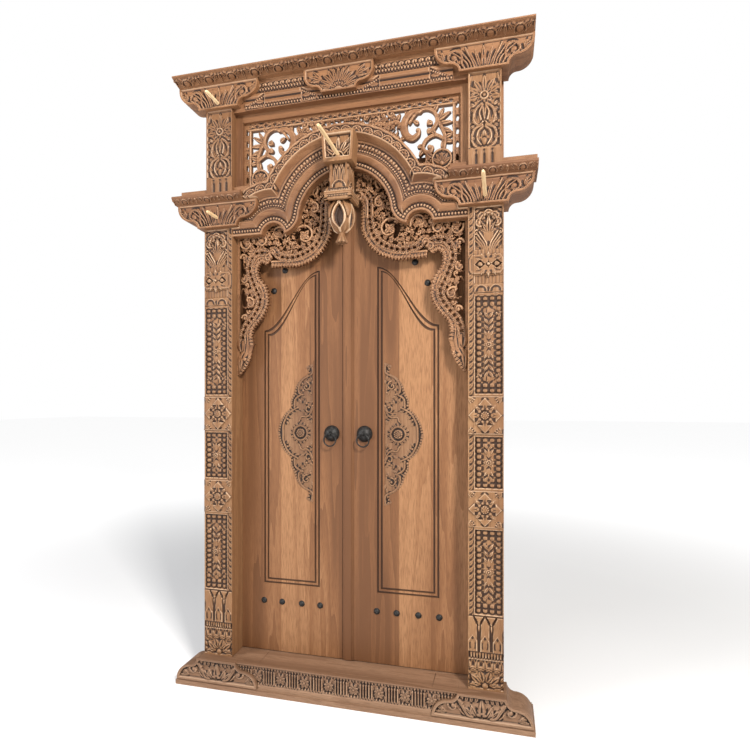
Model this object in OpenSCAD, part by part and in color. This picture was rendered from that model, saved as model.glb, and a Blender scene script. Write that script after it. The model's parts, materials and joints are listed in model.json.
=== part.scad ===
// Carved teak temple door with its free-standing frame.
// X runs across the doorway, Y from front to back, Z up. The origin is the middle of the
// underside of the base. Depths inside the modules count from the front face of the posts.

/* [Base] */
// Width of the base along the floor
base_w = 1484; // [1400:1:1900]
// Depth of the base from its front to its back
base_d = 180; // [160:1:240]
// Height of the base and of the threshold
base_h = 122; // [100:1:160]
// Height of the plain plinth foot
plinth_h = 25; // [15:1:40]
// How far the base blocks stand in front of the posts
base_reveal = 44; // [20:1:60]
// Half width of a base block where the post stands on it
block_half_top = 88; // [75:1:110]
// Radius of the round shoulder of a base block
block_shoulder_r = 64; // [40:1:70]
// Radius of the hollow above the shoulder of a base block
block_hollow_r = 32; // [15:1:34]

/* [Doorway] */
// Clear width between the posts
opening_w = 996; // [820:1:1200]
// Clear height from the threshold to the underside of the lower brackets
doorway_h = 1837; // [1500:1:2250]
// Depth of the front part of the frame
frame_front_d = 90; // [70:1:120]
// How far the rear stiles stand back from the doorway
rebate_w = 32; // [26:1:50]

/* [Posts] */
// Width of a lower post
post_w = 132; // [110:1:160]
// Width of an upper post
upper_post_w = 124; // [90:1:130]
// Height of the upper posts above the ledge step
upper_post_h = 379; // [310:1:460]
// How far the square carved blocks stand out of a lower post
boss_out = 8; // [3:1:15]

/* [Brackets] */
// Half width of a bracket along its top
bracket_half = 186; // [165:1:225]
// Height of a bracket
bracket_h = 105; // [97:1:130]
// Radius of the round side of a bracket
bracket_round_r = 62; // [40:1:64]
// Radius of the hollow below the round side
bracket_hollow_r = 32; // [15:1:33]
// How far a lower bracket stands in front of the posts
lower_bracket_out = 27; // [15:1:40]
// How far an upper bracket stands in front of the posts
upper_bracket_out = 17; // [10:1:30]
// Height of the ledge moulding up to its step
ledge_h = 28; // [20:1:40]
// Height of the plain fillet above the step
ledge_fillet_h = 46; // [30:1:60]
// How far the ledge stands in front of the posts
ledge_out = 60; // [45:1:80]
// How far each ledge runs past its bracket
ledge_over = 10; // [0:1:20]
// How far the ledge reaches into the doorway past the post
ledge_in = 70; // [40:1:90]
// Thickness of the upper post's tongue in front of the fillet
tongue_t = 12; // [8:1:20]

/* [Arch] */
// Radius of the middle arch
arch_r = 196; // [150:1:230]
// Height of the middle arch's centre above the bracket underside
arch_rise = 6; // [-10:1:40]
// Radius of the round lobes beside the middle arch
lobe_r = 82; // [60:1:95]
// Height of the lobe centres above the centre of the middle arch
lobe_rise = 35; // [15:1:50]
// Radius of the small side arches
side_arch_r = 52; // [40:1:60]
// Distance of the small arch centres from the posts
side_arch_in = 188; // [170:1:215]
// How far the small arch centres lie below the bracket underside
side_arch_drop = 45; // [35:1:60]
// How far the arch board reaches below the bracket underside
arch_drop = 37; // [25:1:50]
// Width of the whole moulded band round the arch
band_w = 160; // [140:1:180]
// Depth of the arch board behind the post face
arch_board_d = 38; // [25:1:50]
// How far the outer leaf band of the arch stands out
leaf_band_out = 45; // [30:1:60]
// Width of the outer leaf band
leaf_band_w = 38; // [25:1:50]

/* [Key block and pendant] */
// Half width of the key block at its top
key_half_top = 66; // [50:1:80]
// Half width of the key block at its foot
key_half_low = 58; // [45:1:70]
// How far the key block stands in front of the posts
key_out = 80; // [60:1:100]
// Width of the square carved drop
drop_w = 82; // [60:1:90]
// Height of the square carved drop
drop_h = 97; // [80:1:120]
// Width of the collar below the drop
collar_w = 112; // [90:1:114]
// Height of the collar
collar_h = 50; // [35:1:60]
// Radius of the lotus bud
bud_r = 52; // [35:1:55]
// Height of the lotus bud
bud_h = 118; // [90:1:140]
// Height of the tassel foot below the bud
tassel_h = 40; // [25:1:60]

/* [Transom] */
// Width of the plain transom stiles
stile_w = 31; // [20:1:45]
// Height of the transom's top rail
transom_rail_h = 33; // [20:1:50]
// Distance of the transom frame behind the post face
transom_back = 38; // [25:1:50]
// Thickness of the transom frame
transom_t = 40; // [30:1:50]
// Thickness of the pierced boards
fret_t = 20; // [12:1:25]
// Distance of the pierced transom board behind the post face
fret_back = 50; // [40:1:58]

/* [Top] */
// How far the top beam reaches below the upper brackets
beam_drop = 16; // [8:1:30]
// Distance of the top beam's face behind the post face
beam_back = 12; // [6:1:25]
// Height of the cornice
cornice_h = 24; // [18:1:40]
// How far the cornice stands in front of the posts
cornice_out = 72; // [50:1:90]
// Offset of the middle cartouche from the doorway's middle
cartouche_x = -18; // [-30:1:30]
// Half width of the middle cartouche
cartouche_half = 147; // [120:1:170]

/* [Leaves] */
// Thickness of a door leaf
leaf_t = 36; // [28:1:42]
// Offset of the meeting strip from the doorway's middle
meeting_x = -8; // [-15:1:15]
// Width of the meeting strip
strip_w = 44; // [30:1:60]
// How far the meeting strip stands out of the leaf
strip_out = 7; // [4:1:12]
// Gap between the two leaves
meeting_gap = 3; // [3:1:6]
// Gap above and below the leaves
leaf_gap = 4; // [3:1:8]
// Gap between a leaf and the back of the posts
leaf_front_gap = 2; // [1:1:5]
// How far the leaves reach above the underside of the lower brackets
leaf_rise = 192; // [150:1:230]
// Distance of the grooved panel from the meeting line
panel_in = 126; // [90:1:150]
// Width of the grooved panel
panel_w = 259; // [200:1:290]
// Height of the panel's foot above the leaf's foot
panel_foot = 294; // [250:1:350]
// Height of the panel's short side
panel_short_h = 1108; // [1000:1:1200]
// Height of the wave at the top of the panel
panel_wave_h = 249; // [150:1:280]
// Depth of the panel's grooves
groove_d = 5; // [3:1:8]
// Width of the panel's groove pair
groove_pair_w = 24; // [14:1:26]
// Distance of the carved medallion from the panel's groove
medallion_gap = 8; // [4:1:14]
// Depth of the medallion's sunk field
medallion_d = 4; // [3:1:6]

/* [Hardware] */
// Radius of a leaf's pivot pins
pivot_r = 12; // [8:0.5:14]
// Length of a pivot pin in the sill or the head board
pivot_socket = 30; // [20:1:45]
// Diameter of the dome-headed studs
stud_d = 27; // [20:1:32]
// Diameter of the pull's dome
dome_d = 69; // [55:1:80]
// Height of the pull's dome
dome_h = 25; // [18:1:30]
// Height of the pulls above the floor
pull_z = 1080; // [900:1:1200]
// Radius of the pull ring at the middle of its wire
ring_r = 26; // [22:1:34]
// Radius of the ring's wire
ring_wire_r = 3; // [2:0.5:4]
// Diameter of the hanging pegs
peg_d = 14; // [10:1:20]

/* [Hidden] */

$fn = 64;

teak = "#b98a5e";
carved_teak = "#a9784c";
pale_wood = "#e2c48e";
black_iron = "#23211f";

LEFT = -1;
RIGHT = 1;

hw = opening_w / 2;
face_y = base_reveal - base_d / 2;
back_d = base_d - base_reveal;
post_x = hw + post_w / 2;
bracket_z = base_h + doorway_h;
ledge_z = bracket_z + bracket_h;
step_z = ledge_z + ledge_h;
fillet_z = step_z + ledge_fillet_h;
upper_bracket_z = step_z + upper_post_h;
beam_z = upper_bracket_z - beam_drop;
cornice_z = upper_bracket_z + bracket_h;
bracket_x = post_x - 8;
ledge_half = bracket_x + bracket_half + ledge_over;
block_h = base_h - plinth_h;
block_half = block_half_top + block_shoulder_r + block_hollow_r + 3;
block_x = base_w / 2 - 5 - block_half;
apron_t = 14;
apron_set_back = 6;

arch_z = bracket_z + arch_rise;
side_arch_x = hw - side_arch_in;
side_arch_z = bracket_z - side_arch_drop;
arch_low_z = bracket_z - arch_drop;
lobe_x = sqrt(pow(arch_r + lobe_r, 2) - pow(lobe_rise, 2));
lobe_z = arch_z + lobe_rise;
crown_z = arch_z + arch_r;
bead_row_w = 28;
ogee_w = 30;
band_out = 8;
ogee_out = 16;
fret_hold = 30;
board_fit = 2;

key_fit = 1;
key_top = arch_z + sqrt(pow(arch_r + band_w - leaf_band_w, 2) - pow(key_half_top, 2)) - key_fit;
pendant_y = -20;
pendant_tenon = 36;
tenon_y = -band_out - pendant_tenon;
key_low = arch_z + sqrt(pow(arch_r, 2) - pow(drop_w / 2, 2)) - key_fit;
drop_low = key_low - drop_h;
collar_low = drop_low - collar_h;
bud_low = collar_low - bud_h;

leaf_y = frame_front_d + leaf_front_gap;
leaf_low = base_h + leaf_gap;
leaf_h = doorway_h + leaf_rise;
leaf_top = leaf_low + leaf_h;
leaf_mid_y = leaf_y + leaf_t / 2;
pivot_x = hw + 4;
strip_low = meeting_x - strip_w / 2;
head_low = leaf_top + leaf_gap;
head_h = 50;
head_crown_r = arch_r + 60;
batten_t = 22;
pin_fit = 0.02;
running_fit = 0.06;
pin_in_leaf = 60;
stud_h = 9;
shank_r = 4;
medallion_z = pull_z;
spandrel_reach = 700;
eye_wire_r = 2.5;
eye_fit = 0.3;
eye_hole_r = ring_wire_r + eye_fit;
eye_r = eye_hole_r + eye_wire_r;
eye_y = leaf_y - dome_h - eye_r + eye_wire_r;
pull_in = 72;
peg_fit = 0.05;
peg_seat = 30;
hair = 0.05;
scribe_fit = 0.5;

// ---- helpers ------------------------------------------------------------------------

// Shifts a piece from depths behind the post face to the part's own frame
module place() translate([0, face_y, 0]) children();

// Extrudes an outline in X and Z from one depth to another
module slab(y0, y1) translate([0, y1, 0]) rotate([90, 0, 0]) linear_extrude(y1 - y0) children();

// A plain bar given by its two corners
module bar(x0, x1, y0, y1, z0, z1) translate([x0, y0, z0]) cube([x1 - x0, y1 - y0, z1 - z0]);

// Closes hairline slits, so that an outline is one clean loop
module clean() offset(delta = -hair) offset(delta = hair) children();

// Turns a right-hand piece into the left-hand one
module sided(side) {
    if (side == LEFT) mirror([1, 0, 0]) children();
    else children();
}

// A smooth curve through chosen points
function smooth_at(p0, p1, p2, p3, t) =
    0.5 * (2 * p1 + (p2 - p0) * t + (2 * p0 - 5 * p1 + 4 * p2 - p3) * t * t
    + (3 * p1 - p0 - 3 * p2 + p3) * t * t * t);
function smooth(points, steps = 5) = [
    for (i = [0:len(points) - 2])
        for (s = [0:steps - 1])
            smooth_at(points[max(i - 1, 0)], points[i], points[i + 1],
                      points[min(i + 2, len(points) - 1)], s / steps),
    points[len(points) - 1]
];

// Boat-shaped outline with a round side above a hollow, wide at the top
module ogee_outline(half_top, round_r, hollow_r, h) {
    centre = half_top - round_r;
    lip = h - round_r - hollow_r;
    intersection() {
        translate([-half_top, 0]) square([2 * half_top, h]);
        difference() {
            union() {
                translate([-centre, 0]) square([2 * centre, h]);
                translate([-half_top, h - lip]) square([2 * half_top, lip]);
                for (s = [-1, 1]) translate([s * centre, h - lip]) circle(round_r);
            }
            for (s = [-1, 1]) translate([s * centre, 0]) circle(hollow_r);
        }
    }
}

// The space under the arch, grown outwards by the given distance
module arch_void(grow = 0) {
    flare_z = arch_z + (arch_r + grow) * lobe_rise / (arch_r + lobe_r);
    translate([0, arch_z]) circle(arch_r + grow);
    for (s = [-1, 1]) translate([s * side_arch_x, side_arch_z]) circle(side_arch_r + grow);
    translate([-hw, arch_low_z - spandrel_reach]) square([2 * hw, spandrel_reach + grow]);
    difference() {
        translate([1 + side_arch_r - side_arch_x, arch_low_z])
            square([2 * (side_arch_x - side_arch_r - 1), flare_z - arch_low_z]);
        if (grow < lobe_r)
            for (s = [-1, 1]) translate([s * lobe_x, lobe_z]) circle(lobe_r - grow);
    }
}

// The arch board from the given distance outside the opening to the edge of the band
module arch_band(from) {
    difference() {
        intersection() {
            union() {
                translate([0, arch_z]) circle(arch_r + band_w);
                for (s = [-1, 1]) translate([s * side_arch_x, side_arch_z]) circle(side_arch_r + band_w);
                translate([-hw, arch_low_z]) square([2 * hw, ledge_z - arch_low_z]);
            }
            translate([-hw, arch_low_z]) square([2 * hw, arch_r + band_w + arch_z - arch_low_z]);
        }
        arch_void(from);
        for (s = [-1, 1])
            translate([s * (hw - ledge_in / 2), ledge_z + 200]) square([ledge_in, 400], center = true);
    }
}

module bracket_outline() ogee_outline(bracket_half, bracket_round_r, bracket_hollow_r, bracket_h);

// ---- base ---------------------------------------------------------------------------

module sill_beam() place() color(teak) difference() {
    union() {
        bar(-base_w / 2, base_w / 2, -base_reveal, back_d, 0, plinth_h - 6);
        bar(5 - base_w / 2, base_w / 2 - 5, 5 - base_reveal, back_d, plinth_h - 6, plinth_h);
        bar(block_half - block_x, block_x - block_half, apron_t + apron_set_back - base_reveal, back_d,
            plinth_h, base_h);
        bar(-hw - post_w, hw + post_w, frame_front_d - 8, back_d, plinth_h, base_h);
    }
    for (s = [-1, 1])
        translate([s * pivot_x, leaf_mid_y, base_h - pivot_socket - 2])
            cylinder(h = pivot_socket + 3, r = pivot_r + running_fit);
}

module base_block(side) sided(side) place() color(carved_teak)
    slab(-base_reveal, frame_front_d - 8)
        translate([block_x, base_h]) mirror([0, 1, 0])
            ogee_outline(block_half, block_shoulder_r, block_hollow_r, block_h);

module left_base_block() base_block(LEFT);
module right_base_block() base_block(RIGHT);

module apron_strip() place() color(carved_teak) difference() {
    bar(block_half - block_x, block_x - block_half, apron_set_back - base_reveal,
        apron_set_back + apron_t - base_reveal, plinth_h, base_h);
    bar(block_half - block_x + 14, block_x - block_half - 14, apron_set_back - base_reveal - 1,
        apron_set_back - base_reveal + 4, plinth_h + 16, base_h - 10);
}

// ---- posts and rear frame -----------------------------------------------------------

// Heights of the square carved blocks on a lower post, as centre and size
BOSSES = [[1615, 80], [1042, 148], [686, 140]];

module lower_post(side) sided(side) place() color(carved_teak) union() {
    bar(hw, hw + post_w, 0, frame_front_d, base_h, bracket_z);
    for (b = BOSSES)
        bar(hw, hw + post_w, -boss_out, 0,
            bracket_z - doorway_h + b[0] - b[1] / 2, bracket_z - doorway_h + b[0] + b[1] / 2);
}

module left_post() lower_post(LEFT);
module right_post() lower_post(RIGHT);

module rear_stile(side) sided(side) place() color(teak)
    bar(hw + rebate_w, hw + post_w, frame_front_d, back_d, base_h, beam_z);

module left_rear_stile() rear_stile(LEFT);
module right_rear_stile() rear_stile(RIGHT);

module head_board() place() color(teak) difference() {
    slab(frame_front_d, back_d) union() {
        translate([-hw - rebate_w, head_low]) square([2 * (hw + rebate_w), head_h]);
        intersection() {
            translate([0, arch_z]) circle(head_crown_r);
            translate([-head_crown_r, head_low]) square([2 * head_crown_r, head_crown_r]);
        }
    }
    for (s = [-1, 1])
        translate([s * pivot_x, leaf_mid_y, head_low - 1])
            cylinder(h = pivot_socket + 3, r = pivot_r + running_fit);
}

// ---- arch, key block and pendant ------------------------------------------------------

module arch_lintel() place() color(carved_teak) union() {
    slab(0, arch_board_d) clean() arch_band(0);
    slab(-band_out, 0) clean() difference() {
        arch_band(bead_row_w);
        for (s = [-1, 1]) translate([s * bracket_x, bracket_z]) offset(delta = scribe_fit) bracket_outline();
    }
    slab(-ogee_out, -band_out) clean() difference() {
        arch_band(bead_row_w);
        arch_void(bead_row_w + ogee_w);
        for (s = [-1, 1]) translate([s * bracket_x, bracket_z]) offset(delta = scribe_fit) bracket_outline();
        translate([-key_half_top, crown_z]) square([2 * key_half_top, band_w]);
    }
    slab(-leaf_band_out, -band_out) clean() difference() {
        arch_band(band_w - leaf_band_w);
        for (s = [-1, 1]) translate([s * bracket_x, bracket_z]) offset(delta = scribe_fit) bracket_outline();
    }
}

module key_block() place() color(carved_teak) difference() {
    slab(-key_out, -band_out) polygon([
        [-key_half_low, key_low], [key_half_low, key_low],
        [key_half_top, key_top], [-key_half_top, key_top]
    ]);
    bar(-pendant_tenon / 2, pendant_tenon / 2, tenon_y, tenon_y + pendant_tenon,
        key_low - 1, key_low + pendant_tenon);
    translate([0, -key_out - 1, key_low + 28]) rotate([-90, 0, 0])
        cylinder(h = peg_seat - 16, d = peg_d + 2 * peg_fit);
    for (s = [-1, 1])
        bar(-key_half_low + 14, key_half_low - 14, -key_out - 1, 4 - key_out,
            key_low + 42, key_top - 14);
}

module pendant() place() color(carved_teak) union() {
    translate([-drop_w / 2, pendant_y - drop_w / 2, drop_low]) cube([drop_w, drop_w, drop_h]);
    bar(-pendant_tenon / 2, pendant_tenon / 2, tenon_y, tenon_y + pendant_tenon,
        key_low, key_low + pendant_tenon);
    translate([-collar_w / 2, pendant_y - collar_w / 2, collar_low + 12])
        cube([collar_w, collar_w, collar_h - 24]);
    for (z = [collar_low, drop_low - 12])
        translate([-collar_w / 2 + 8, pendant_y - collar_w / 2 + 8, z])
            cube([collar_w - 16, collar_w - 16, 12]);
    translate([0, pendant_y, 0]) rotate_extrude() polygon(concat(
        [[0, collar_low]],
        smooth([[34, collar_low], [bud_r, collar_low - 38], [bud_r - 6, collar_low - 78],
                [24, bud_low + 12], [14, bud_low], [22, bud_low - tassel_h]], 4),
        [[0, bud_low - tassel_h]]
    ));
}

// ---- brackets, ledges and upper posts ---------------------------------------------------

module lower_bracket(side) sided(side) place() color(carved_teak) union() {
    slab(-lower_bracket_out, 0) translate([bracket_x, bracket_z]) bracket_outline();
    slab(0, frame_front_d) intersection() {
        translate([bracket_x, bracket_z]) bracket_outline();
        translate([hw, bracket_z]) square([2 * bracket_half, bracket_h]);
    }
}

module left_lower_bracket() lower_bracket(LEFT);
module right_lower_bracket() lower_bracket(RIGHT);

// The ledge's section runs along X: out over the bracket, back to the step, up the fillet
module ledge(side) sided(side) place() color(carved_teak) union() {
    translate([hw - ledge_in, 0, 0]) rotate([90, 0, 90]) linear_extrude(ledge_half - hw + ledge_in)
        polygon([
            [-lower_bracket_out, ledge_z], [-ledge_out + 8, ledge_z + 12], [-ledge_out, ledge_z + 20],
            [-ledge_out, step_z], [tongue_t, step_z], [tongue_t, fillet_z],
            [transom_back, fillet_z], [transom_back, ledge_z]
        ]);
    bar(hw, ledge_half, transom_back, frame_front_d, ledge_z, fillet_z);
}

module left_ledge() ledge(LEFT);
module right_ledge() ledge(RIGHT);

module upper_post(side) sided(side) place() color(carved_teak) union() {
    bar(hw, hw + upper_post_w, 0, tongue_t, step_z, fillet_z);
    bar(hw, hw + upper_post_w, 0, frame_front_d, fillet_z, upper_bracket_z);
}

module left_upper_post() upper_post(LEFT);
module right_upper_post() upper_post(RIGHT);

// ---- transom ----------------------------------------------------------------------------

module transom_stile(side) sided(side) place() color(teak)
    bar(hw - stile_w, hw, transom_back, transom_back + transom_t, fillet_z, beam_z);

module left_transom_stile() transom_stile(LEFT);
module right_transom_stile() transom_stile(RIGHT);

module transom_rail() place() color(teak)
    bar(stile_w - hw, hw - stile_w, transom_back, transom_back + transom_t, beam_z - transom_rail_h, beam_z);

// A leaf-shaped hole, pointed at both ends
module leaf_hole(length, width) polygon([
    for (i = [0:11])
        [-length / 2 * cos(30 * i), width / 2 * sin(30 * i) * (1 - 0.35 * abs(cos(30 * i)))]
]);

// Openings round a scroll: a ring of leaf-shaped holes about one centre
module scroll_holes(x, z, r, count, turn = 0) translate([x, z])
    for (i = [0:count - 1])
        rotate(turn + i * 360 / count) translate([r, 0]) rotate(90) leaf_hole(1.5 * r * sin(180 / count) + 8, 0.5 * r);

transom_inner = hw - stile_w;
transom_top = beam_z - transom_rail_h;
fret_border = 27;

module transom_fretwork() place() color(carved_teak) slab(fret_back, fret_back + fret_t) clean() difference() {
    translate([-transom_inner, fillet_z]) square([2 * transom_inner, transom_top - fillet_z]);
    arch_void(fret_hold + board_fit);
    border_holes = floor((transom_top - fillet_z - 2 * fret_border) / 36);
    for (s = [-1, 1]) {
        for (i = [0:border_holes])
            translate([s * (transom_inner - fret_border / 2), fillet_z + fret_border + 36 * i])
                rotate(90) leaf_hole(24, 12);
        for (i = [0:floor((transom_inner - fret_border) / 36) - 1])
            translate([s * (18 + 36 * i), transom_top - fret_border / 2]) leaf_hole(24, 11);
        scroll_holes(s * (transom_inner - 105), transom_top - 105, 48, 5, 20);
        scroll_holes(s * (transom_inner - 82), transom_top - 205, 34, 4, 45);
        scroll_holes(s * (transom_inner - 225), transom_top - 76, 26, 4, 10);
        translate([s * (transom_inner - 60), transom_top - 45]) rotate(s * 40) leaf_hole(46, 20);
        translate([s * (transom_inner - 170), transom_top - 48]) rotate(s * -30) leaf_hole(50, 20);
        translate([s * (transom_inner - 170), transom_top - 165]) rotate(s * 55) leaf_hole(60, 24);
        for (i = [0:3])
            translate([s * (transom_inner - 290 - 42 * i), transom_top - 50]) rotate(s * 30) leaf_hole(34, 14);
    }
}

// ---- spandrels ----------------------------------------------------------------------------

// Lower edge of a right-hand spandrel, from the pendant to the post. X counts from the post,
// Z from the bracket underside.
SPANDREL_BOW = [[-440, 96], [-424, 76], [-424, 17], [-423, -44], [-391, -103], [-348, -141],
                [-289, -162], [-233, -162], [-165, -160]];
SPANDREL_HOOK = [[-150, -151], [-115, -139], [-96, -161], [-95, -199], [-108, -224], [-122, -233]];
SPANDREL_SIDE = [[-123, -236], [-141, -281], [-138, -334], [-111, -382], [-76, -420], [-66, -459],
                 [-70, -499]];
SPANDREL_TIP = [[-55, -549], [-42, -582], [-12, -619], [0, -624]];
// Middle lines of the slotted borders
BORDER_BOW = [[-398, 66], [-399, 0], [-385, -59], [-350, -100], [-300, -125], [-248, -132],
              [-205, -122], [-182, -96]];
BORDER_HOOK = [[-154, -112], [-112, -98], [-76, -116], [-60, -155], [-66, -200], [-84, -238]];
BORDER_SIDE = [[-112, -298], [-104, -334], [-76, -378], [-44, -418], [-30, -452]];

module spandrel_outline() intersection() {
    translate([hw, bracket_z]) polygon(concat(
        [[-hw, 300], [-hw, 106]],
        smooth(SPANDREL_BOW, 4), smooth(SPANDREL_HOOK, 4), smooth(SPANDREL_SIDE, 4), smooth(SPANDREL_TIP, 3),
        [[0, 300]]
    ));
    arch_void(fret_hold);
    translate([0, bracket_z - spandrel_reach]) square([hw, spandrel_reach + 500]);
}

// Slots along a border, one to each pair of curve points
module border_slots(line) {
    points = smooth(line, 2);
    for (i = [0:2:len(points) - 2]) {
        step = points[i + 1] - points[i];
        translate((points[i] + points[i + 1]) / 2) rotate(atan2(step[1], step[0]))
            square([min(norm(step) * 0.75, 20), 9], center = true);
    }
}

module spandrel(side) sided(side) place() color(carved_teak)
    slab(arch_board_d, arch_board_d + fret_t) clean() difference() {
        spandrel_outline();
        translate([hw, bracket_z]) {
            border_slots(BORDER_BOW);
            border_slots(BORDER_HOOK);
            border_slots(BORDER_SIDE);
            scroll_holes(-300, -38, 34, 6);
            scroll_holes(-335, 72, 26, 4, 30);
            scroll_holes(-365, 160, 24, 4, 10);
            scroll_holes(-196, -24, 26, 5, 18);
            scroll_holes(-118, -50, 22, 4, 45);
            scroll_holes(-50, -55, 24, 4, 0);
            scroll_holes(-34, -130, 14, 3, 90);
            scroll_holes(-62, -300, 24, 4, 45);
            translate([-32, -365]) rotate(70) leaf_hole(40, 14);
            translate([-24, -225]) rotate(80) leaf_hole(44, 14);
        }
    }

module left_spandrel_fretwork() spandrel(LEFT);
module right_spandrel_fretwork() spandrel(RIGHT);

// ---- top ------------------------------------------------------------------------------------

module top_beam() place() color(teak) union() {
    bar(-hw, hw, beam_back, back_d, beam_z, cornice_z);
    bar(-hw - post_w, hw + post_w, frame_front_d, back_d, beam_z, cornice_z);
}

module upper_bracket(side) sided(side) place() color(carved_teak) union() {
    slab(-upper_bracket_out, beam_back) translate([bracket_x, upper_bracket_z]) bracket_outline();
    slab(beam_back, frame_front_d) intersection() {
        translate([bracket_x, upper_bracket_z]) bracket_outline();
        translate([hw, upper_bracket_z]) square([2 * bracket_half, bracket_h]);
    }
}

module left_upper_bracket() upper_bracket(LEFT);
module right_upper_bracket() upper_bracket(RIGHT);

module center_cartouche() place() color(carved_teak) slab(-upper_bracket_out, beam_back)
    translate([cartouche_x, upper_bracket_z])
        ogee_outline(cartouche_half, bracket_round_r - 14, bracket_hollow_r - 6, bracket_h);

module cornice() place() color(carved_teak)
    translate([-base_w / 2, 0, 0]) rotate([90, 0, 90]) linear_extrude(base_w) polygon([
        [-upper_bracket_out, cornice_z], [-cornice_out + 6, cornice_z + cornice_h - 8],
        [-cornice_out, cornice_z + cornice_h - 5], [-cornice_out, cornice_z + cornice_h],
        [back_d, cornice_z + cornice_h], [back_d, cornice_z]
    ]);

// ---- hanging pegs -----------------------------------------------------------------------------

module peg(x, z, seat_y, tip_y) place() color(pale_wood)
    translate([x, tip_y, z]) rotate([-90, 0, 0]) union() {
        cylinder(h = 12, d1 = peg_d - 5, d2 = peg_d);
        translate([0, 0, 12]) cylinder(h = seat_y - tip_y - 12, d = peg_d);
    }

module center_peg() peg(0, key_low + 28, peg_seat - 18 - key_out, -295);
module left_upper_peg() peg(-bracket_x, upper_bracket_z + 20, -upper_bracket_out, -107);
module left_lower_peg() peg(-bracket_x, bracket_z + 40, -lower_bracket_out, -99);
module right_lower_peg() peg(bracket_x + 6, bracket_z + 30, -lower_bracket_out, -233);

// ---- leaves -------------------------------------------------------------------------------------

// Outline of the panel in X from its tall side and Z from its foot
function panel_points(inset) = concat(
    [[inset, inset], [panel_w - inset, inset]],
    [for (t = [1:-0.05:0])
        [inset + (panel_w - 2 * inset) * t,
         panel_short_h + panel_wave_h * (1 + cos(180 * t)) / 2 - inset * (1 + 0.45 * sin(180 * t))]]
);

module groove_ring(outer, inner) difference() {
    polygon(panel_points(outer));
    polygon(panel_points(inner));
}

// Scalloped edge of a medallion's upper half, from its point to its middle. X counts from the
// straight side, Z from the middle.
MEDALLION_EDGE = [[0, 298], [30, 284], [19, 257], [53, 234], [76, 206], [85, 177], [103, 139],
                  [102, 110], [130, 83], [152, 45], [163, 0]];

module medallion_field() for (s = [0, 1])
    mirror([0, s]) polygon(concat([[0, -1]], smooth(MEDALLION_EDGE, 4), [[163, -1]]));

// X of a leaf's own stud or panel, counted from the meeting line
LEAF_STUDS = [[125, 216], [209, 216], [300, 216], [385, 216], [286, 1660], [338, 1573]];

module leaf(side, edge_x) sided(side) place() color(teak) {
    mid = side * meeting_x;
    difference() {
        union() {
            bar(edge_x, pivot_x, leaf_y, leaf_y + leaf_t, leaf_low, leaf_top);
            translate([pivot_x, leaf_mid_y, leaf_low]) cylinder(h = leaf_h, d = leaf_t);
        }
        slab(leaf_y - 1, leaf_y + groove_d) translate([mid + panel_in, leaf_low + panel_foot]) {
            groove_ring(0, groove_pair_w / 3);
            groove_ring(groove_pair_w * 2 / 3, groove_pair_w);
        }
        slab(leaf_y - 1, leaf_y + medallion_d)
            translate([mid + panel_in + groove_pair_w + medallion_gap, medallion_z])
                medallion_field();
        for (z = [leaf_low - 1, leaf_top - pin_in_leaf])
            translate([pivot_x, leaf_mid_y, z]) cylinder(h = pin_in_leaf + 1, r = pivot_r + pin_fit);
        for (p = LEAF_STUDS)
            translate([mid + p[0], leaf_y - 1, leaf_low + p[1]]) rotate([-90, 0, 0])
                cylinder(h = leaf_t + 2, r = shank_r + pin_fit);
    }
}

module left_leaf() leaf(LEFT, -strip_low + meeting_gap);
module right_leaf() leaf(RIGHT, strip_low);

module meeting_strip() place() color(teak) union() {
    bar(strip_low, strip_low + strip_w, leaf_y - strip_out + 3, leaf_y, leaf_low, leaf_top);
    bar(strip_low + 7, strip_low + strip_w - 7, leaf_y - strip_out, leaf_y - strip_out + 3, leaf_low, leaf_top);
}

module batten(side, z_mid, h) sided(side) place() color(teak) {
    mid = side * meeting_x;
    difference() {
        bar(mid + 60, hw - 40, leaf_y + leaf_t, leaf_y + leaf_t + batten_t, z_mid - h / 2, z_mid + h / 2);
        for (p = LEAF_STUDS)
            translate([mid + p[0], leaf_y + leaf_t - 1, leaf_low + p[1]]) rotate([-90, 0, 0])
                cylinder(h = batten_t + 2, r = shank_r + pin_fit);
    }
}

module left_upper_batten() batten(LEFT, leaf_low + 1617, 170);
module left_lower_batten() batten(LEFT, leaf_low + 216, 110);
module right_upper_batten() batten(RIGHT, leaf_low + 1617, 170);
module right_lower_batten() batten(RIGHT, leaf_low + 216, 110);

module pivot_pins(side) sided(side) place() color(black_iron) {
    translate([pivot_x, leaf_mid_y, base_h - pivot_socket]) cylinder(h = pivot_socket + leaf_gap + pin_in_leaf - 2, r = pivot_r);
    translate([pivot_x, leaf_mid_y, leaf_top - pin_in_leaf + 2]) cylinder(h = pivot_socket + leaf_gap + pin_in_leaf - 2, r = pivot_r);
}

module left_pivot_pins() pivot_pins(LEFT);
module right_pivot_pins() pivot_pins(RIGHT);

// Dome of a given diameter and height standing on its flat face, rising along Z
module dome(d, h) {
    r = (d * d / 4 + h * h) / 2 / h;
    intersection() {
        translate([0, 0, h - r]) sphere(r);
        translate([-d, -d, 0]) cube([2 * d, 2 * d, h + 1]);
    }
}

module stud() union() {
    dome(stud_d, stud_h);
    translate([0, 0, -leaf_t - batten_t]) cylinder(h = leaf_t + batten_t + 1, r = shank_r);
}

module leaf_studs(side) sided(side) place() color(black_iron)
    for (p = LEAF_STUDS)
        translate([side * meeting_x + p[0], leaf_y, leaf_low + p[1]]) rotate([90, 0, 0]) stud();

module left_leaf_studs() leaf_studs(LEFT);
module right_leaf_studs() leaf_studs(RIGHT);

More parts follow.
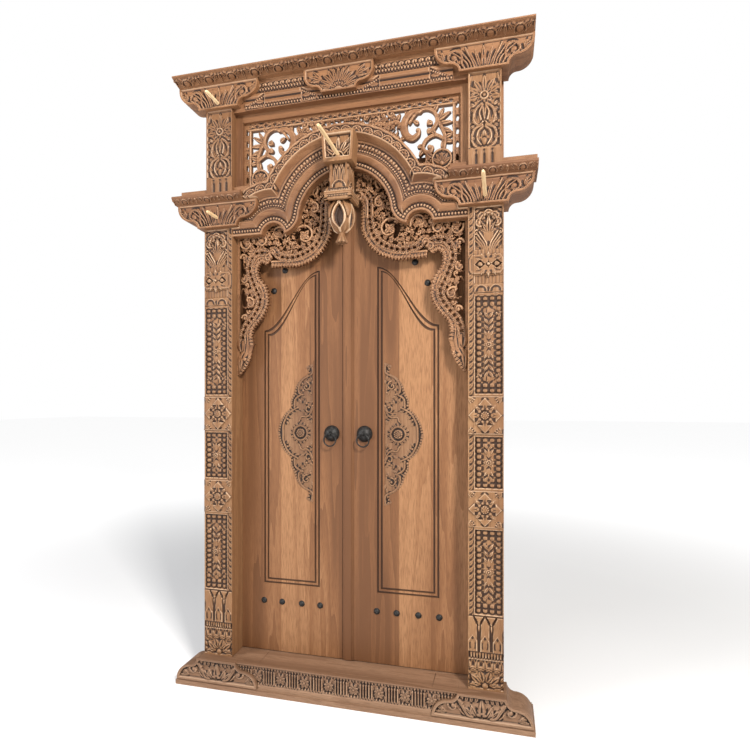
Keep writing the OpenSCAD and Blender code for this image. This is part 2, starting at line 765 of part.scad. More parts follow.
// Iron dome with the staple eye that carries the ring
module pull_dome(side) sided(side) place() color(black_iron)
    translate([side * meeting_x + pull_in, 0, pull_z]) union() {
        translate([0, leaf_y, 0]) rotate([90, 0, 0]) dome(dome_d, dome_h);
        translate([-eye_wire_r, eye_y, 0]) rotate([0, 90, 0]) difference() {
            cylinder(h = 2 * eye_wire_r, r = eye_r + eye_wire_r);
            translate([0, 0, -1]) cylinder(h = 2 * eye_wire_r + 2, r = eye_hole_r);
        }
    }

module left_pull_dome() pull_dome(LEFT);
module right_pull_dome() pull_dome(RIGHT);

module pull_ring(side) sided(side) place() color(black_iron)
    translate([side * meeting_x + pull_in, eye_y, pull_z - ring_r]) rotate([90, 0, 0])
        rotate_extrude() translate([ring_r, 0]) circle(ring_wire_r);

module left_pull_ring() pull_ring(LEFT);
module right_pull_ring() pull_ring(RIGHT);

// ---- nodes ----------------------------------------------------------------------------------------

sill_beam();
left_base_block();
right_base_block();
apron_strip();
left_post();
right_post();
left_rear_stile();
right_rear_stile();
head_board();
arch_lintel();
key_block();
pendant();
left_lower_bracket();
right_lower_bracket();
left_ledge();
right_ledge();
left_upper_post();
right_upper_post();
left_transom_stile();
right_transom_stile();
transom_rail();
transom_fretwork();
left_spandrel_fretwork();
right_spandrel_fretwork();
top_beam();
left_upper_bracket();
right_upper_bracket();
center_cartouche();
cornice();
center_peg();
left_upper_peg();
left_lower_peg();
right_lower_peg();
left_leaf();
right_leaf();
meeting_strip();
left_upper_batten();
left_lower_batten();
right_upper_batten();
right_lower_batten();
left_pivot_pins();
right_pivot_pins();
left_leaf_studs();
right_leaf_studs();
left_pull_dome();
right_pull_dome();
left_pull_ring();
right_pull_ring();
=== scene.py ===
"""Carved teak temple door with its frame: carving, finishes, light and camera.

Lengths in the classes are millimetres in the door's own frame: X across the doorway, Y from the
carved front to the back, Z up. They become metres only where a mesh is made.
"""
import json
import logging
import math
from dataclasses import dataclass
from enum import Enum
from typing import Callable, Iterable, Sequence

import bmesh
import bpy
import numpy as np
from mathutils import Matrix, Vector

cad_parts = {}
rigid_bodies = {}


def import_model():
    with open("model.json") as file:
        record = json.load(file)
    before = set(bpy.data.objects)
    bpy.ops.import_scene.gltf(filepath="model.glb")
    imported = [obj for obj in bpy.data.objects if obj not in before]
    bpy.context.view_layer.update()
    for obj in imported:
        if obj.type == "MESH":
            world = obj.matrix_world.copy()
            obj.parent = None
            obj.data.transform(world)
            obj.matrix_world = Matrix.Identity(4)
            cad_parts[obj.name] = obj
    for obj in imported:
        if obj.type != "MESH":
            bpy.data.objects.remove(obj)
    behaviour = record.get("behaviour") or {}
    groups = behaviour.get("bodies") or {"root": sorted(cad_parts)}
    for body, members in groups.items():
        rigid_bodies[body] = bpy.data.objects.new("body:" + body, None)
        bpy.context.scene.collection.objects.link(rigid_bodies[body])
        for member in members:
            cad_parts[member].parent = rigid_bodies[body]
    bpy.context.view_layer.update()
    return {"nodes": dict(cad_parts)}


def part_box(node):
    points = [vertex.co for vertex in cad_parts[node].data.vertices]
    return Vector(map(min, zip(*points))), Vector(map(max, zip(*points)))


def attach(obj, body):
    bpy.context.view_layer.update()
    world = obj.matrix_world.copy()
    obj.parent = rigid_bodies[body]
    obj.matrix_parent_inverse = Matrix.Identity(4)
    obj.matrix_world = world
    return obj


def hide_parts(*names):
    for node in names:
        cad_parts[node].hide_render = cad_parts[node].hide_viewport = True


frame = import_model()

log = logging.getLogger("temple_door")

Point = tuple[float, float]
Line = Sequence[Point]
Array = np.ndarray
MM = 0.001
FAR = 1000.0
SIDES = (("right", False), ("left", True))


# ---- shader expressions -------------------------------------------------------------------


class Value:
    """A number that varies over a surface: one node socket with Python's arithmetic."""

    def __init__(self, tree: "Shader", socket: bpy.types.NodeSocket) -> None:
        """Wraps a socket.

        Args:
            tree: the shader that the socket belongs to.
            socket: the output socket that carries the number.
        """
        self.tree = tree
        self.socket = socket

    def _math(self, operation: str, *terms: "Value | float") -> "Value":
        """Adds one Math node.

        Args:
            operation: the Math node's operation.
            terms: its inputs in order.

        Returns:
            The node's result.
        """
        return self.tree.node("ShaderNodeMath", {"operation": operation}, dict(enumerate(terms)))

    def __add__(self, other: "Value | float") -> "Value":
        """self + other."""
        return self._math("ADD", self, other)

    __radd__ = __add__

    def __sub__(self, other: "Value | float") -> "Value":
        """self - other."""
        return self._math("SUBTRACT", self, other)

    def __rsub__(self, other: "Value | float") -> "Value":
        """other - self."""
        return self._math("SUBTRACT", other, self)

    def __mul__(self, other: "Value | float") -> "Value":
        """self * other."""
        return self._math("MULTIPLY", self, other)

    __rmul__ = __mul__

    def __truediv__(self, other: "Value | float") -> "Value":
        """self / other."""
        return self._math("DIVIDE", self, other)

    def floor(self) -> "Value":
        """The whole number below."""
        return self._math("FLOOR", self)

    def at_least(self, other: "Value | float") -> "Value":
        """The larger of the two."""
        return self._math("MAXIMUM", self, other)

    def ramp(self, low: float, high: float) -> "Value":
        """A smooth step.

        Args:
            low: where the result is 0.
            high: where the result is 1.

        Returns:
            0 to 1.
        """
        return self.tree.node(
            "ShaderNodeMapRange",
            {"interpolation_type": "SMOOTHSTEP"},
            {"Value": self, "From Min": low, "From Max": high},
        )


class Shader:
    """One material's node tree."""

    def __init__(self, name: str) -> None:
        """Starts a material.

        Args:
            name: the material's name.
        """
        self.material = bpy.data.materials.new(name)
        self.material.use_nodes = True
        self.nodes = self.material.node_tree.nodes
        self.links = self.material.node_tree.links
        self.surface = self.nodes["Principled BSDF"]

    def node(self, kind: str, settings: dict[str, object], inputs: dict[str | int, object],
             output: int | str = 0) -> Value:
        """Adds any node.

        Args:
            kind: the node's type.
            settings: its own settings, set first; "stops" fills a colour ramp.
            inputs: values or links of its sockets, by name or number.
            output: the output socket that is returned.

        Returns:
            The chosen output.
        """
        made = self.nodes.new(kind)
        for key, value in settings.items():
            if key == "stops":
                self._stops(made.color_ramp, value)
            else:
                setattr(made, key, value)
        for key, value in inputs.items():
            if isinstance(value, Value):
                self.links.new(value.socket, made.inputs[key])
            else:
                made.inputs[key].default_value = value
        return Value(self, made.outputs[output])

    @staticmethod
    def _stops(ramp: bpy.types.ColorRamp, stops: Sequence[tuple[float, tuple[float, ...]]]) -> None:
        """Fills a colour ramp.

        Args:
            ramp: the ramp.
            stops: (position, colour) pairs in order.
        """
        while len(ramp.elements) < len(stops):
            ramp.elements.new(0.5)
        for element, (position, colour) in zip(ramp.elements, stops):
            element.position = position
            element.color = colour

    def place(self, scale: tuple[float, float, float]) -> Value:
        """Object coordinates stretched by a scale along X, Y and Z."""
        where = self.node("ShaderNodeTexCoord", {}, {}, "Object")
        return self.node("ShaderNodeMapping", {}, {"Vector": where, "Scale": scale})

    def noise(self, vector: Value, scale: float, detail: float = 3.0, rough: float = 0.55) -> Value:
        """A noise pattern from 0 to 1.

        Args:
            vector: where it is read.
            scale: its fineness.
            detail: its octaves.
            rough: how strong the fine octaves are.

        Returns:
            The pattern.
        """
        return self.node(
            "ShaderNodeTexNoise", {}, {"Vector": vector, "Scale": scale, "Detail": detail, "Roughness": rough}
        )

    def mix(self, share: "Value | float", low: object, high: object, how: str = "MIX") -> Value:
        """Mixes two colours.

        Args:
            share: 0 for low, 1 for high.
            low: a colour or a link.
            high: a colour or a link.
            how: the blend type.

        Returns:
            The mixed colour.
        """
        return self.node(
            "ShaderNodeMix", {"data_type": "RGBA", "blend_type": how}, {0: share, 6: low, 7: high}, 2
        )

    def set(self, **sockets: object) -> None:
        """Sets the surface's sockets.

        Args:
            sockets: values or links, with underscores for the blanks in a socket's name.
        """
        for key, value in sockets.items():
            socket = self.surface.inputs[key.replace("_", " ")]
            if isinstance(value, Value):
                self.links.new(value.socket, socket)
            else:
                socket.default_value = value


# ---- finishes -----------------------------------------------------------------------------


class Grain(Enum):
    """Which way the wood's fibres run."""

    UPRIGHT = (1.0, 1.0, 0.055)
    ACROSS = (0.055, 1.0, 1.0)
    OUTWARD = (1.0, 0.055, 1.0)


Colour = tuple[float, float, float, float]
WHITE: Colour = (1.0, 1.0, 1.0, 1.0)


@dataclass(frozen=True)
class Teak:
    """Oiled teak: fibres and slow bands along the grain, painted shade in the carved hollows, painted
    highlight on the ridges.
    """

    name: str
    grain: Grain = Grain.UPRIGHT
    light: Colour = (0.293, 0.146, 0.067, 1)
    middle: Colour = (0.220, 0.100, 0.042, 1)
    dark: Colour = (0.123, 0.050, 0.020, 1)
    # The hollow colour is painted shade in the carved recesses.
    hollow: Colour = (0.028, 0.011, 0.005, 1)
    # The ridge colour is a painted highlight on the raised carving.
    ridge: Colour = (0.515, 0.331, 0.198, 1)
    board_width: float = 0.0
    board_shift: float = 0.0
    board_tone: float = 0.28
    figure: float = 1.0
    stain: float = 0.55
    roughness: float = 0.5

    def make(self) -> bpy.types.Material:
        """Builds the finish.

        Returns:
            The material.
        """
        s = Shader(self.name)
        along = s.place(self.grain.value)
        warp = s.noise(along, 3.2, 2.0)
        slow = s.noise(along, 7.0 * self.figure, 3.0)
        rings = slow * 7.0 + warp * 3.0
        bands = rings - rings.floor()
        fibre = s.noise(s.place(tuple(4.0 * k for k in self.grain.value)), 110.0, 2.0, 0.6)
        tone = 0.50 * slow + 0.13 * bands + 0.37 * warp
        if self.board_width:
            tone = tone + self._board_tone(s)
        body = s.node(
            "ShaderNodeValToRGB",
            {"stops": [(0.34, self.dark), (0.50, self.middle), (0.66, self.light)]},
            {"Fac": tone},
        )
        streak = s.mix(fibre.ramp(0.42, 0.70) * 0.62, body, self.dark)
        patch = s.noise(s.place(tuple(0.45 * k for k in self.grain.value)), 5.0, 4.0, 0.65)
        streak = s.mix(patch.ramp(0.50, 0.74) * self.stain, streak, self.dark)
        cut = s.node("ShaderNodeAttribute", {"attribute_name": "cut"}, {}, "Fac")
        # Painted shade: where the cut layer is below zero, the colour is mixed towards the hollow colour.
        sunk = s.mix((0.0 - cut).ramp(0.04, 0.70), streak, self.hollow)
        # Painted highlight: where the cut layer is above zero, the colour is mixed towards the ridge colour.
        wear_and_highlight = s.mix(cut.ramp(0.12, 0.95) * 0.62, sunk, self.ridge)
        bump = s.node(
            "ShaderNodeBump",
            {},
            {"Strength": 0.35, "Distance": 0.0012, "Height": 0.7 * fibre + 0.3 * slow},
        )
        s.set(
            Base_Color=wear_and_highlight,
            Roughness=self.roughness + 0.22 * fibre - 0.1 * cut.at_least(0.0),
            Normal=bump,
            Specular_IOR_Level=0.35,
        )
        return s.material

    def _board_tone(self, s: Shader) -> Value:
        """A different tone for each board of a leaf.

        Args:
            s: the finish's shader.

        Returns:
            What is added to the tone.
        """
        where = s.node("ShaderNodeTexCoord", {}, {}, "Object")
        across = s.node("ShaderNodeSeparateXYZ", {}, {"Vector": where}, "X")
        board = ((across + self.board_shift) / self.board_width).floor()
        pick = s.node("ShaderNodeTexWhiteNoise", {"noise_dimensions": "1D"}, {"W": board + 7.31}, "Value")
        return (pick - 0.5) * self.board_tone


@dataclass(frozen=True)
class Iron:
    """Blackened iron, hammered and slightly greasy."""

    name: str
    colour: Colour = (0.022, 0.021, 0.020, 1)
    wear_and_highlight: Colour = (0.075, 0.070, 0.066, 1)

    def make(self) -> bpy.types.Material:
        """Builds the finish.

        Returns:
            The material.
        """
        s = Shader(self.name)
        spots = s.noise(s.place((1, 1, 1)), 140.0, 4.0, 0.6)
        s.set(
            Base_Color=s.mix(spots.ramp(0.45, 0.8), self.colour, self.wear_and_highlight),
            Metallic=0.7,
            Roughness=0.38 + 0.3 * spots,
            Normal=s.node("ShaderNodeBump", {}, {"Strength": 0.4, "Distance": 0.0008, "Height": spots}),
        )
        return s.material


@dataclass(frozen=True)
class Floor:
    """Plain matt white floor that glows more the farther it lies from the door: painted light that keeps the
    far floor white.
    """

    name: str
    colour: Colour = (0.93, 0.93, 0.935, 1)

    def make(self) -> bpy.types.Material:
        """Builds the finish.

        Returns:
            The material.
        """
        s = Shader(self.name)
        where = s.node("ShaderNodeTexCoord", {}, {}, "Object")
        away = s.node("ShaderNodeVectorMath", {"operation": "LENGTH"}, {0: where}, "Value")
        s.set(
            Base_Color=self.colour,
            Roughness=0.7,
            Specular_IOR_Level=0.2,
            # Painted light: the floor starts to glow 1.6 m out and glows fully from 5.5 m, so it looks lit.
            Emission_Color=away.ramp(1.6, 5.5) * 0.68,
            Emission_Strength=1.0,
        )
        return s.material


# ---- carving ------------------------------------------------------------------------------


class Cut(Enum):
    """Cross-section that the carver gives a rib, petal or stem."""

    ROUND = "round"
    VEINED = "veined"
    HOLLOW = "hollow"
    RIBS = "ribs"
    FLAT = "flat"

    def section(self, t: Array) -> Array:
        """Height of the section.

        Args:
            t: 0 on the middle line to 1 at the edge.

        Returns:
            Height from 0 to 1.
        """
        t = np.clip(t, 0.0, 1.0)
        if self is Cut.ROUND:
            return np.sqrt(1.0 - t**2)
        if self is Cut.VEINED:
            return np.sqrt(1.0 - t**2) * (1.0 - 0.55 * np.exp(-((t / 0.2) ** 2)))
        if self is Cut.HOLLOW:
            return (1.0 - t**8) * (0.3 + 0.7 * t**2)
        if self is Cut.RIBS:
            return np.minimum(1.0, (1.0 - t) * 5.0) * (0.42 + 0.58 * np.cos(math.pi * 1.55 * (t - 0.62)) ** 2)
        return np.minimum(1.0, (1.0 - t) * 4.0)


def smooth(points: Line, steps: int = 5) -> list[Point]:
    """A smooth curve through chosen points.

    Args:
        points: the points.
        steps: pieces between two neighbours.

    Returns:
        The curve's points.
    """
    p = [np.array(q, float) for q in points]
    out: list[Point] = []
    for i in range(len(p) - 1):
        p0, p1, p2, p3 = p[max(i - 1, 0)], p[i], p[i + 1], p[min(i + 2, len(p) - 1)]
        for k in range(steps):
            t = k / steps
            q = 0.5 * (
                2 * p1 + (p2 - p0) * t + (2 * p0 - 5 * p1 + 4 * p2 - p3) * t * t
                + (3 * p1 - p0 - 3 * p2 + p3) * t**3
            )
            out.append((float(q[0]), float(q[1])))
    out.append((float(p[-1][0]), float(p[-1][1])))
    return out


def arc(u: float, v: float, r: float, a0: float, a1: float, steps: int = 16) -> list[Point]:
    """Points on a circular arc, angles in degrees.

    Args:
        u: centre.
        v: centre.
        r: radius.
        a0: first angle.
        a1: last angle.
        steps: pieces.

    Returns:
        The points.
    """
    turn = np.radians(np.linspace(a0, a1, steps + 1))
    return [(u + r * math.cos(a), v + r * math.sin(a)) for a in turn]


def heading(angle: float) -> Point:
    """The unit vector at an angle in degrees."""
    return math.cos(math.radians(angle)), math.sin(math.radians(angle))


def spaced(points: Line, pitch: float) -> list[tuple[float, float, float]]:
    """Evenly spaced stations along a line.

    Args:
        points: the line.
        pitch: the wanted spacing, changed a little to fit.

    Returns:
        (u, v, direction in degrees) for each station.
    """
    p = np.array(points, float)
    leg = np.hypot(*np.diff(p, axis=0).T)
    run = np.concatenate([[0.0], np.cumsum(leg)])
    count = max(1, round(run[-1] / pitch))
    out = []
    for k in range(count):
        s = (k + 0.5) * run[-1] / count
        i = int(np.clip(np.searchsorted(run, s) - 1, 0, len(leg) - 1))
        q = p[i] + (p[i + 1] - p[i]) * (s - run[i]) / max(leg[i], 1e-9)
        d = p[i + 1] - p[i]
        out.append((float(q[0]), float(q[1]), math.degrees(math.atan2(d[1], d[0]))))
    return out


def polygon_distance(u: Array, v: Array, outline: Line) -> Array:
    """Distance to a closed outline, positive inside.

    Args:
        u: coordinates.
        v: coordinates.
        outline: the corners in order.

    Returns:
        The signed distance.
    """
    best = np.full_like(u, FAR * FAR)
    inside = np.zeros(u.shape, bool)
    ends = list(outline[1:]) + [outline[0]]
    for (ax, ay), (bx, by) in zip(outline, ends):
        dx, dy = bx - ax, by - ay
        size = dx * dx + dy * dy
        if size < 1e-9:
            continue
        t = np.clip(((u - ax) * dx + (v - ay) * dy) / size, 0, 1)
        best = np.minimum(best, (u - ax - t * dx) ** 2 + (v - ay - t * dy) ** 2)
        if dy:
            inside ^= ((ay > v) != (by > v)) & (u < dx * (v - ay) / dy + ax)
    return np.sqrt(best) * np.where(inside, 1.0, -1.0)


class Relief:
    """A carved face: a fine grid of heights, and of how far each point is inside the wood."""

    def __init__(self, u0: float, u1: float, v0: float, v1: float, step: float,
                 pierced: bool = False) -> None:
        """Starts with a plain face.

        Args:
            u0: left edge.
            u1: right edge.
            v0: lower edge.
            v1: upper edge.
            step: the grid's spacing.
            pierced: True if wood stays only where something is carved.
        """
        self.count_u = max(2, round((u1 - u0) / step) + 1)
        self.count_v = max(2, round((v1 - v0) / step) + 1)
        self.u, self.v = np.meshgrid(np.linspace(u0, u1, self.count_u), np.linspace(v0, v1, self.count_v))
        self.step = step
        self.pierced = pierced
        self.height = np.zeros_like(self.u)
        self.inside = np.full_like(self.u, -FAR if pierced else FAR)
        self.limits = (u0, u1, v0, v1)
        self.ground = 0.0

    def _window(self, u0: float, u1: float, v0: float, v1: float) -> tuple[slice, slice]:
        """The part of the grid round a box.

        Args:
            u0: left.
            u1: right.
            v0: low.
            v1: high.

        Returns:
            Row and column slices.
        """
        a0, a1, b0, b1 = self.limits
        fu = (self.count_u - 1) / (a1 - a0)
        fv = (self.count_v - 1) / (b1 - b0)
        cols = slice(max(0, int((u0 - a0) * fu)), max(0, min(self.count_u, int((u1 - a0) * fu) + 2)))
        rows = slice(max(0, int((v0 - b0) * fv)), max(0, min(self.count_v, int((v1 - b0) * fv) + 2)))
        return rows, cols

    def _beside(self, a: Point, b: Point, half: float) -> tuple[tuple[slice, slice], Array]:
        """The part of the grid beside a short line.

        Args:
            a: the line's start.
            b: its end.
            half: how far the part reaches.

        Returns:
            The slices, and each point's distance from the line over the reach.
        """
        (ax, ay), (bx, by) = a, b
        win = self._window(min(ax, bx) - half, max(ax, bx) + half, min(ay, by) - half, max(ay, by) + half)
        dx, dy = bx - ax, by - ay
        u, v = self.u[win], self.v[win]
        t = np.clip(((u - ax) * dx + (v - ay) * dy) / max(dx * dx + dy * dy, 1e-9), 0, 1)
        return win, np.hypot(u - ax - t * dx, v - ay - t * dy) / half

    def _turned(self, u: float, v: float, reach: float,
                angle: float) -> tuple[tuple[slice, slice], Array, Array]:
        """The part of the grid round a point, measured along and across a direction.

        Args:
            u: the point.
            v: the point.
            reach: how far the part reaches.
            angle: the direction in degrees.

        Returns:
            The slices, and each point's place along and across the direction.
        """
        win = self._window(u - reach, u + reach, v - reach, v + reach)
        c, s = heading(angle)
        du, dv = self.u[win] - u, self.v[win] - v
        return win, du * c + dv * s, dv * c - du * s

    def level(self, where: Array, height: Array | float) -> None:
        """Sets the height wherever a mask holds."""
        self.height = np.where(where, height, self.height)

    def lower(self, edge: Array, border: float, depth: float) -> None:
        """Sinks the ground inside a border.

        Args:
            edge: signed distance to the outline.
            border: the border's width.
            depth: how deep.
        """
        self.height -= depth * np.clip((edge - border + 2) / 2.5, 0, 1)

    def _lay(self, win: tuple[slice, slice], t: Array, rise: Array | float, cut: Cut, half: Array | float,
             base: float | None) -> None:
        """Adds wood with a given section.

        Args:
            win: the part of the grid.
            t: 0 on the middle to 1 at the edge.
            rise: height of the section.
            cut: the section.
            half: half width, for how far a point is inside.
            base: height that the section stands on, or None for the ground.
        """
        base = self.ground if base is None else base
        top = np.where(t < 1.0, base + rise * cut.section(t), -FAR)
        self.height[win] = np.maximum(self.height[win], top)
        if self.pierced:
            self.inside[win] = np.maximum(self.inside[win], (1.0 - t) * half)

    def bead(self, u: float, v: float, r: float, rise: float, long: float = 1.0, angle: float = 0.0,
             base: float | None = None) -> None:
        """A round or oval boss.

        Args:
            u: centre.
            v: centre.
            r: half its width.
            rise: its height.
            long: length over width.
            angle: direction of its length in degrees.
            base: what it stands on, or None for the ground.
        """
        win, along, across = self._turned(u, v, r * max(1.0, long), angle)
        t = np.hypot(along / long, across) / r
        self._lay(win, t, rise, Cut.ROUND, r, base)

    def row(self, points: Line, pitch: float, r: float, rise: float,
            base: float | None = None) -> None:
        """Round bosses along a line.

        Args:
            points: the line.
            pitch: their spacing.
            r: their radius.
            rise: their height.
            base: what they stand on, or None for the ground.
        """
        for u, v, _ in spaced(points, pitch):
            self.bead(u, v, r, rise, base=base)

    def petal(self, u: float, v: float, angle: float, length: float, width: float, rise: float,
              full: float = 0.6, cut: Cut = Cut.VEINED, base: float | None = None) -> None:
        """A pointed leaf that starts at a point and runs one way.

        Args:
            u: its root.
            v: its root.
            angle: its direction in degrees.
            length: its length.
            width: its greatest width.
            rise: its height.
            full: how early it is widest, smaller for earlier.
            cut: its section.
            base: what it stands on, or None for the ground.
        """
        win, along, across = self._turned(u, v, length, angle)
        along = np.clip(along / length, -0.1, 1.1)
        safe = np.clip(along, 1e-4, 1.0)
        half = 0.5 * width * np.sin(math.pi * safe**full) ** 0.75 + 1e-3
        t = np.abs(across) / half
        t = np.where((along <= 0) | (along >= 1), 2.0, t)
        self._lay(win, t, rise * (0.55 + 0.45 * np.sin(math.pi * safe)), cut, half, base)

    def stem(self, points: Line, half: float, rise: float, end: float | None = None, cut: Cut = Cut.ROUND,
             base: float | None = None) -> None:
        """A rib along a line, tapering from one half width to another.

        Args:
            points: the line.
            half: half width at its start.
            rise: its height.
            end: half width at its end, or None for the same.
            cut: its section.
            base: what it stands on, or None for the ground.
        """
        taper = 0.0 if end is None else end - half
        n = len(points) - 1
        for i in range(n):
            width = half + taper * (i + 0.5) / n
            win, gone = self._beside(points[i], points[i + 1], width)
            self._lay(win, gone, rise, cut, width, base)

    def scroll(self, u: float, v: float, r: float, start: float, turns: float, width: float, rise: float,
               ball: float = 0.0, cut: Cut = Cut.ROUND) -> None:
        """A spiral that winds inwards.

        Args:
            u: centre.
            v: centre.
            r: outer radius.
            start: angle of the outer end in degrees.
            turns: how far it winds, negative for clockwise.
            width: half width at the outer end.
            rise: its height.
            ball: radius of the ball at its heart.
            cut: its section.
        """
        steps = max(8, int(abs(turns) * 22))
        line = []
        for k in range(steps + 1):
            s = k / steps
            a = math.radians(start + 360 * turns * s)
            q = r * (1 - 0.78 * s**0.85)
            line.append((u + q * math.cos(a), v + q * math.sin(a)))
        self.stem(line, width, rise, width * 0.55, cut)
        if ball:
            self.bead(u, v, ball, rise * 1.15)

    def fan(self, u: float, v: float, r_in: float, r_out: float, a0: float, a1: float, count: int,
            rise: float, fill: float = 1.1, cut: Cut = Cut.VEINED, base: float | None = None) -> None:
        """Petals that spread from a centre.

        Args:
            u: centre.
            v: centre.
            r_in: where they start.
            r_out: where they end.
            a0: first direction.
            a1: last direction.
            count: how many.
            rise: their height.
            fill: how much of the circle they cover.
            cut: their section.
            base: what they stand on, or None for the ground.
        """
        span = a1 - a0
        turn = span / count if abs(span) >= 359 else span / max(1, count - 1)
        width = abs(math.radians(turn)) * 0.5 * (r_in + r_out) * fill
        for k in range(count):
            a = a0 + turn * k
            c, s = heading(a)
            self.petal(u + r_in * c, v + r_in * s, a, r_out - r_in, width, rise, 0.8, cut, base)

    def sprig(self, u: float, v: float, angle: float, size: float, rise: float,
              base: float | None = None) -> None:
        """A small leaf with two side lobes.

        Args:
            u: its root.
            v: its root.
            angle: its direction.
            size: its length.
            rise: its height.
            base: what it stands on, or None for the ground.
        """
        for turn, share in ((62, 0.62), (-62, 0.62), (0, 1.0)):
            self.petal(u, v, angle + turn, size * share, size * 0.5, rise, 0.7, base=base)

    def rosette(self, u: float, v: float, r: float, count: int, rise: float,
                base: float | None = None) -> None:
        """A flower seen from the front.

        Args:
            u: centre.
            v: centre.
            r: radius.
            count: petals.
            rise: height.
            base: what it stands on, or None for the ground.
        """
        self.fan(u, v, r * 0.3, r, 0, 360, count, rise * 0.8, cut=Cut.HOLLOW, base=base)
        self.stem(arc(u, v, r * 0.4, 0, 360, 20), r * 0.13, rise, base=base)
        self.bead(u, v, r * 0.25, rise * 1.1, base=base)

    def sink(self, u0: float, u1: float, v0: float, v1: float, depth: float, edge: float = 2.0) -> None:
        """Lowers a rectangle's ground.

        Args:
            u0: left.
            u1: right.
            v0: low.
            v1: high.
            depth: how deep.
            edge: width of its sloping sides.
        """
        inner = np.minimum(np.minimum(self.u - u0, u1 - self.u), np.minimum(self.v - v0, v1 - self.v))
        self.height -= depth * np.clip(inner / edge, 0, 1)

    def groove(self, points: Line, half: float, depth: float) -> None:
        """A V-groove along a line.

        Args:
            points: the line.
            half: half width.
            depth: depth.
        """
        mark = np.zeros_like(self.height)
        for a, b in zip(points, points[1:]):
            win, gone = self._beside(a, b, half)
            mark[win] = np.maximum(mark[win], np.clip(1 - gone, 0, 1))
        self.height -= depth * mark

    def hole(self, u: float, v: float, half_u: float, half_v: float) -> None:
        """Cuts an oval hole.

        Args:
            u: centre.
            v: centre.
            half_u: half length.
            half_v: half width.
        """
        win, along, across = self._turned(u, v, max(half_u, half_v) + 4, 0.0)
        t = ((np.abs(along) / half_u) ** 2.6 + (np.abs(across) / half_v) ** 2.6) ** (1 / 2.6)
        self.inside[win] = np.minimum(self.inside[win], (t - 1.0) * min(half_u, half_v))

    def trim(self, distance: Array) -> None:
        """Cuts away all wood outside an outline.

        Args:
            distance: signed distance to it, positive inside.
        """
        self.inside = np.minimum(self.inside, distance)

    def border(self, distance: Array, width: float, rise: float, lip: float = 1.5) -> None:
        """A plain raised border inside an outline.

        Args:
            distance: signed distance to the outline.
            width: the border's width.
            rise: its height.
            lip: width of its rounded edge.
        """
        band = (distance < width) & (distance > -3 * self.step)
        edge = np.clip(np.minimum(distance + lip, width - distance) / lip, 0, 1)
        self.height = np.maximum(self.height, np.where(band, rise * np.sqrt(edge), -FAR))

    def cavity(self, reach: float = 7.0, valley: float = 10.0, depth: float = 2.6,
               shade: float = 2.8) -> Array:
        """How far each point stands above its surroundings or lies under the tops beside it.

        Args:
            reach: size of the surroundings.
            valley: how far away the tops beside a hollow may be.
            depth: height above the surroundings that counts as 1.
            shade: depth under the tops that counts as -1.

        Returns:
            -1 in hollows to 1 on ridges.
        """
        k = max(1, round(reach / self.step / 2))
        solid = np.where(self.inside > -self.step, self.height, -FAR)
        mean = np.where(solid > -FAR, self.height, 0.0)
        top = solid
        span = max(2, round(valley / self.step))
        for axis in (0, 1):
            pad = np.pad(mean, [(k + 1, k) if a == axis else (0, 0) for a in (0, 1)], mode="edge")
            total = np.cumsum(pad, axis=axis)
            n = mean.shape[axis]
            upper = np.take(total, range(2 * k + 1, 2 * k + 1 + n), axis=axis)
            lower = np.take(total, range(0, n), axis=axis)
            mean = (upper - lower) / (2 * k + 1)
            ahead, behind = solid, solid
            for hop in range(1, span + 1):
                ahead = np.maximum(ahead, np.roll(solid, hop, axis))
                behind = np.maximum(behind, np.roll(solid, -hop, axis))
            top = np.maximum(top, np.minimum(ahead, behind))
        # low marks where the finish paints shade and high where it paints a highlight.
        low = np.clip((top - self.height) / shade, 0, 1)
        low = np.maximum(low, np.clip((mean - self.height - 0.4) / depth, 0, 0.62))
        high = np.clip((self.height - mean) / depth, 0, 1)
        return high * (1 - low) - low


@dataclass(frozen=True)
class Stand:
    """Where a relief lies: its origin and its three directions, in millimetres."""

    origin: tuple[float, float, float]
    along: tuple[float, float, float] = (1, 0, 0)
    up: tuple[float, float, float] = (0, 0, 1)
    out: tuple[float, float, float] = (0, -1, 0)
    mirrored: bool = False

    def point(self, u: float, v: float, h: float) -> Vector:
        """A point of the relief in the door's frame.

        Args:
            u: along.
            v: up.
            h: out.

        Returns:
            The point in metres.
        """
        q = (
            Vector(self.origin) + u * Vector(self.along) + v * Vector(self.up) + h * Vector(self.out)
        ) * MM
        if self.mirrored:
            q.x = -q.x
        return q


def merge(whole: bmesh.types.BMesh, part: bmesh.types.BMesh) -> None:
    """Adds one mesh to another and frees it.

    Args:
        whole: the mesh that grows.
        part: the mesh that is added.
    """
    mesh = bpy.data.meshes.new("part")
    part.to_mesh(mesh)
    part.free()
    whole.from_mesh(mesh)
    bpy.data.meshes.remove(mesh)


def place_of(node: str) -> tuple[float, float, float, float, float, float]:
    """A CAD node's box in millimetres.

    Args:
        node: its name.

    Returns:
        x0, x1, y0, y1, z0, z1.
    """
    low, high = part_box(node)
    return (low[0] / MM, high[0] / MM, low[1] / MM, high[1] / MM, low[2] / MM, high[2] / MM)


def finished(name: str, bm: bmesh.types.BMesh, material: bpy.types.Material,
             replaces: Iterable[str] = (), body: str = "frame") -> None:
    """Turns a mesh into a piece that rides on a body.

    Args:
        name: the piece's name.
        bm: its mesh, freed here.
        material: its finish.
        replaces: CAD nodes that it stands for.
        body: the body it rides on.
    """
    mesh = bpy.data.meshes.new(name)
    bm.to_mesh(mesh)
    bm.free()
    piece = bpy.data.objects.new(name, mesh)
    bpy.context.scene.collection.objects.link(piece)
    mesh.materials.append(material)
    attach(piece, body)
    for node in replaces:
        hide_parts(node)
    log.info("%s: %d faces", name, len(mesh.polygons))


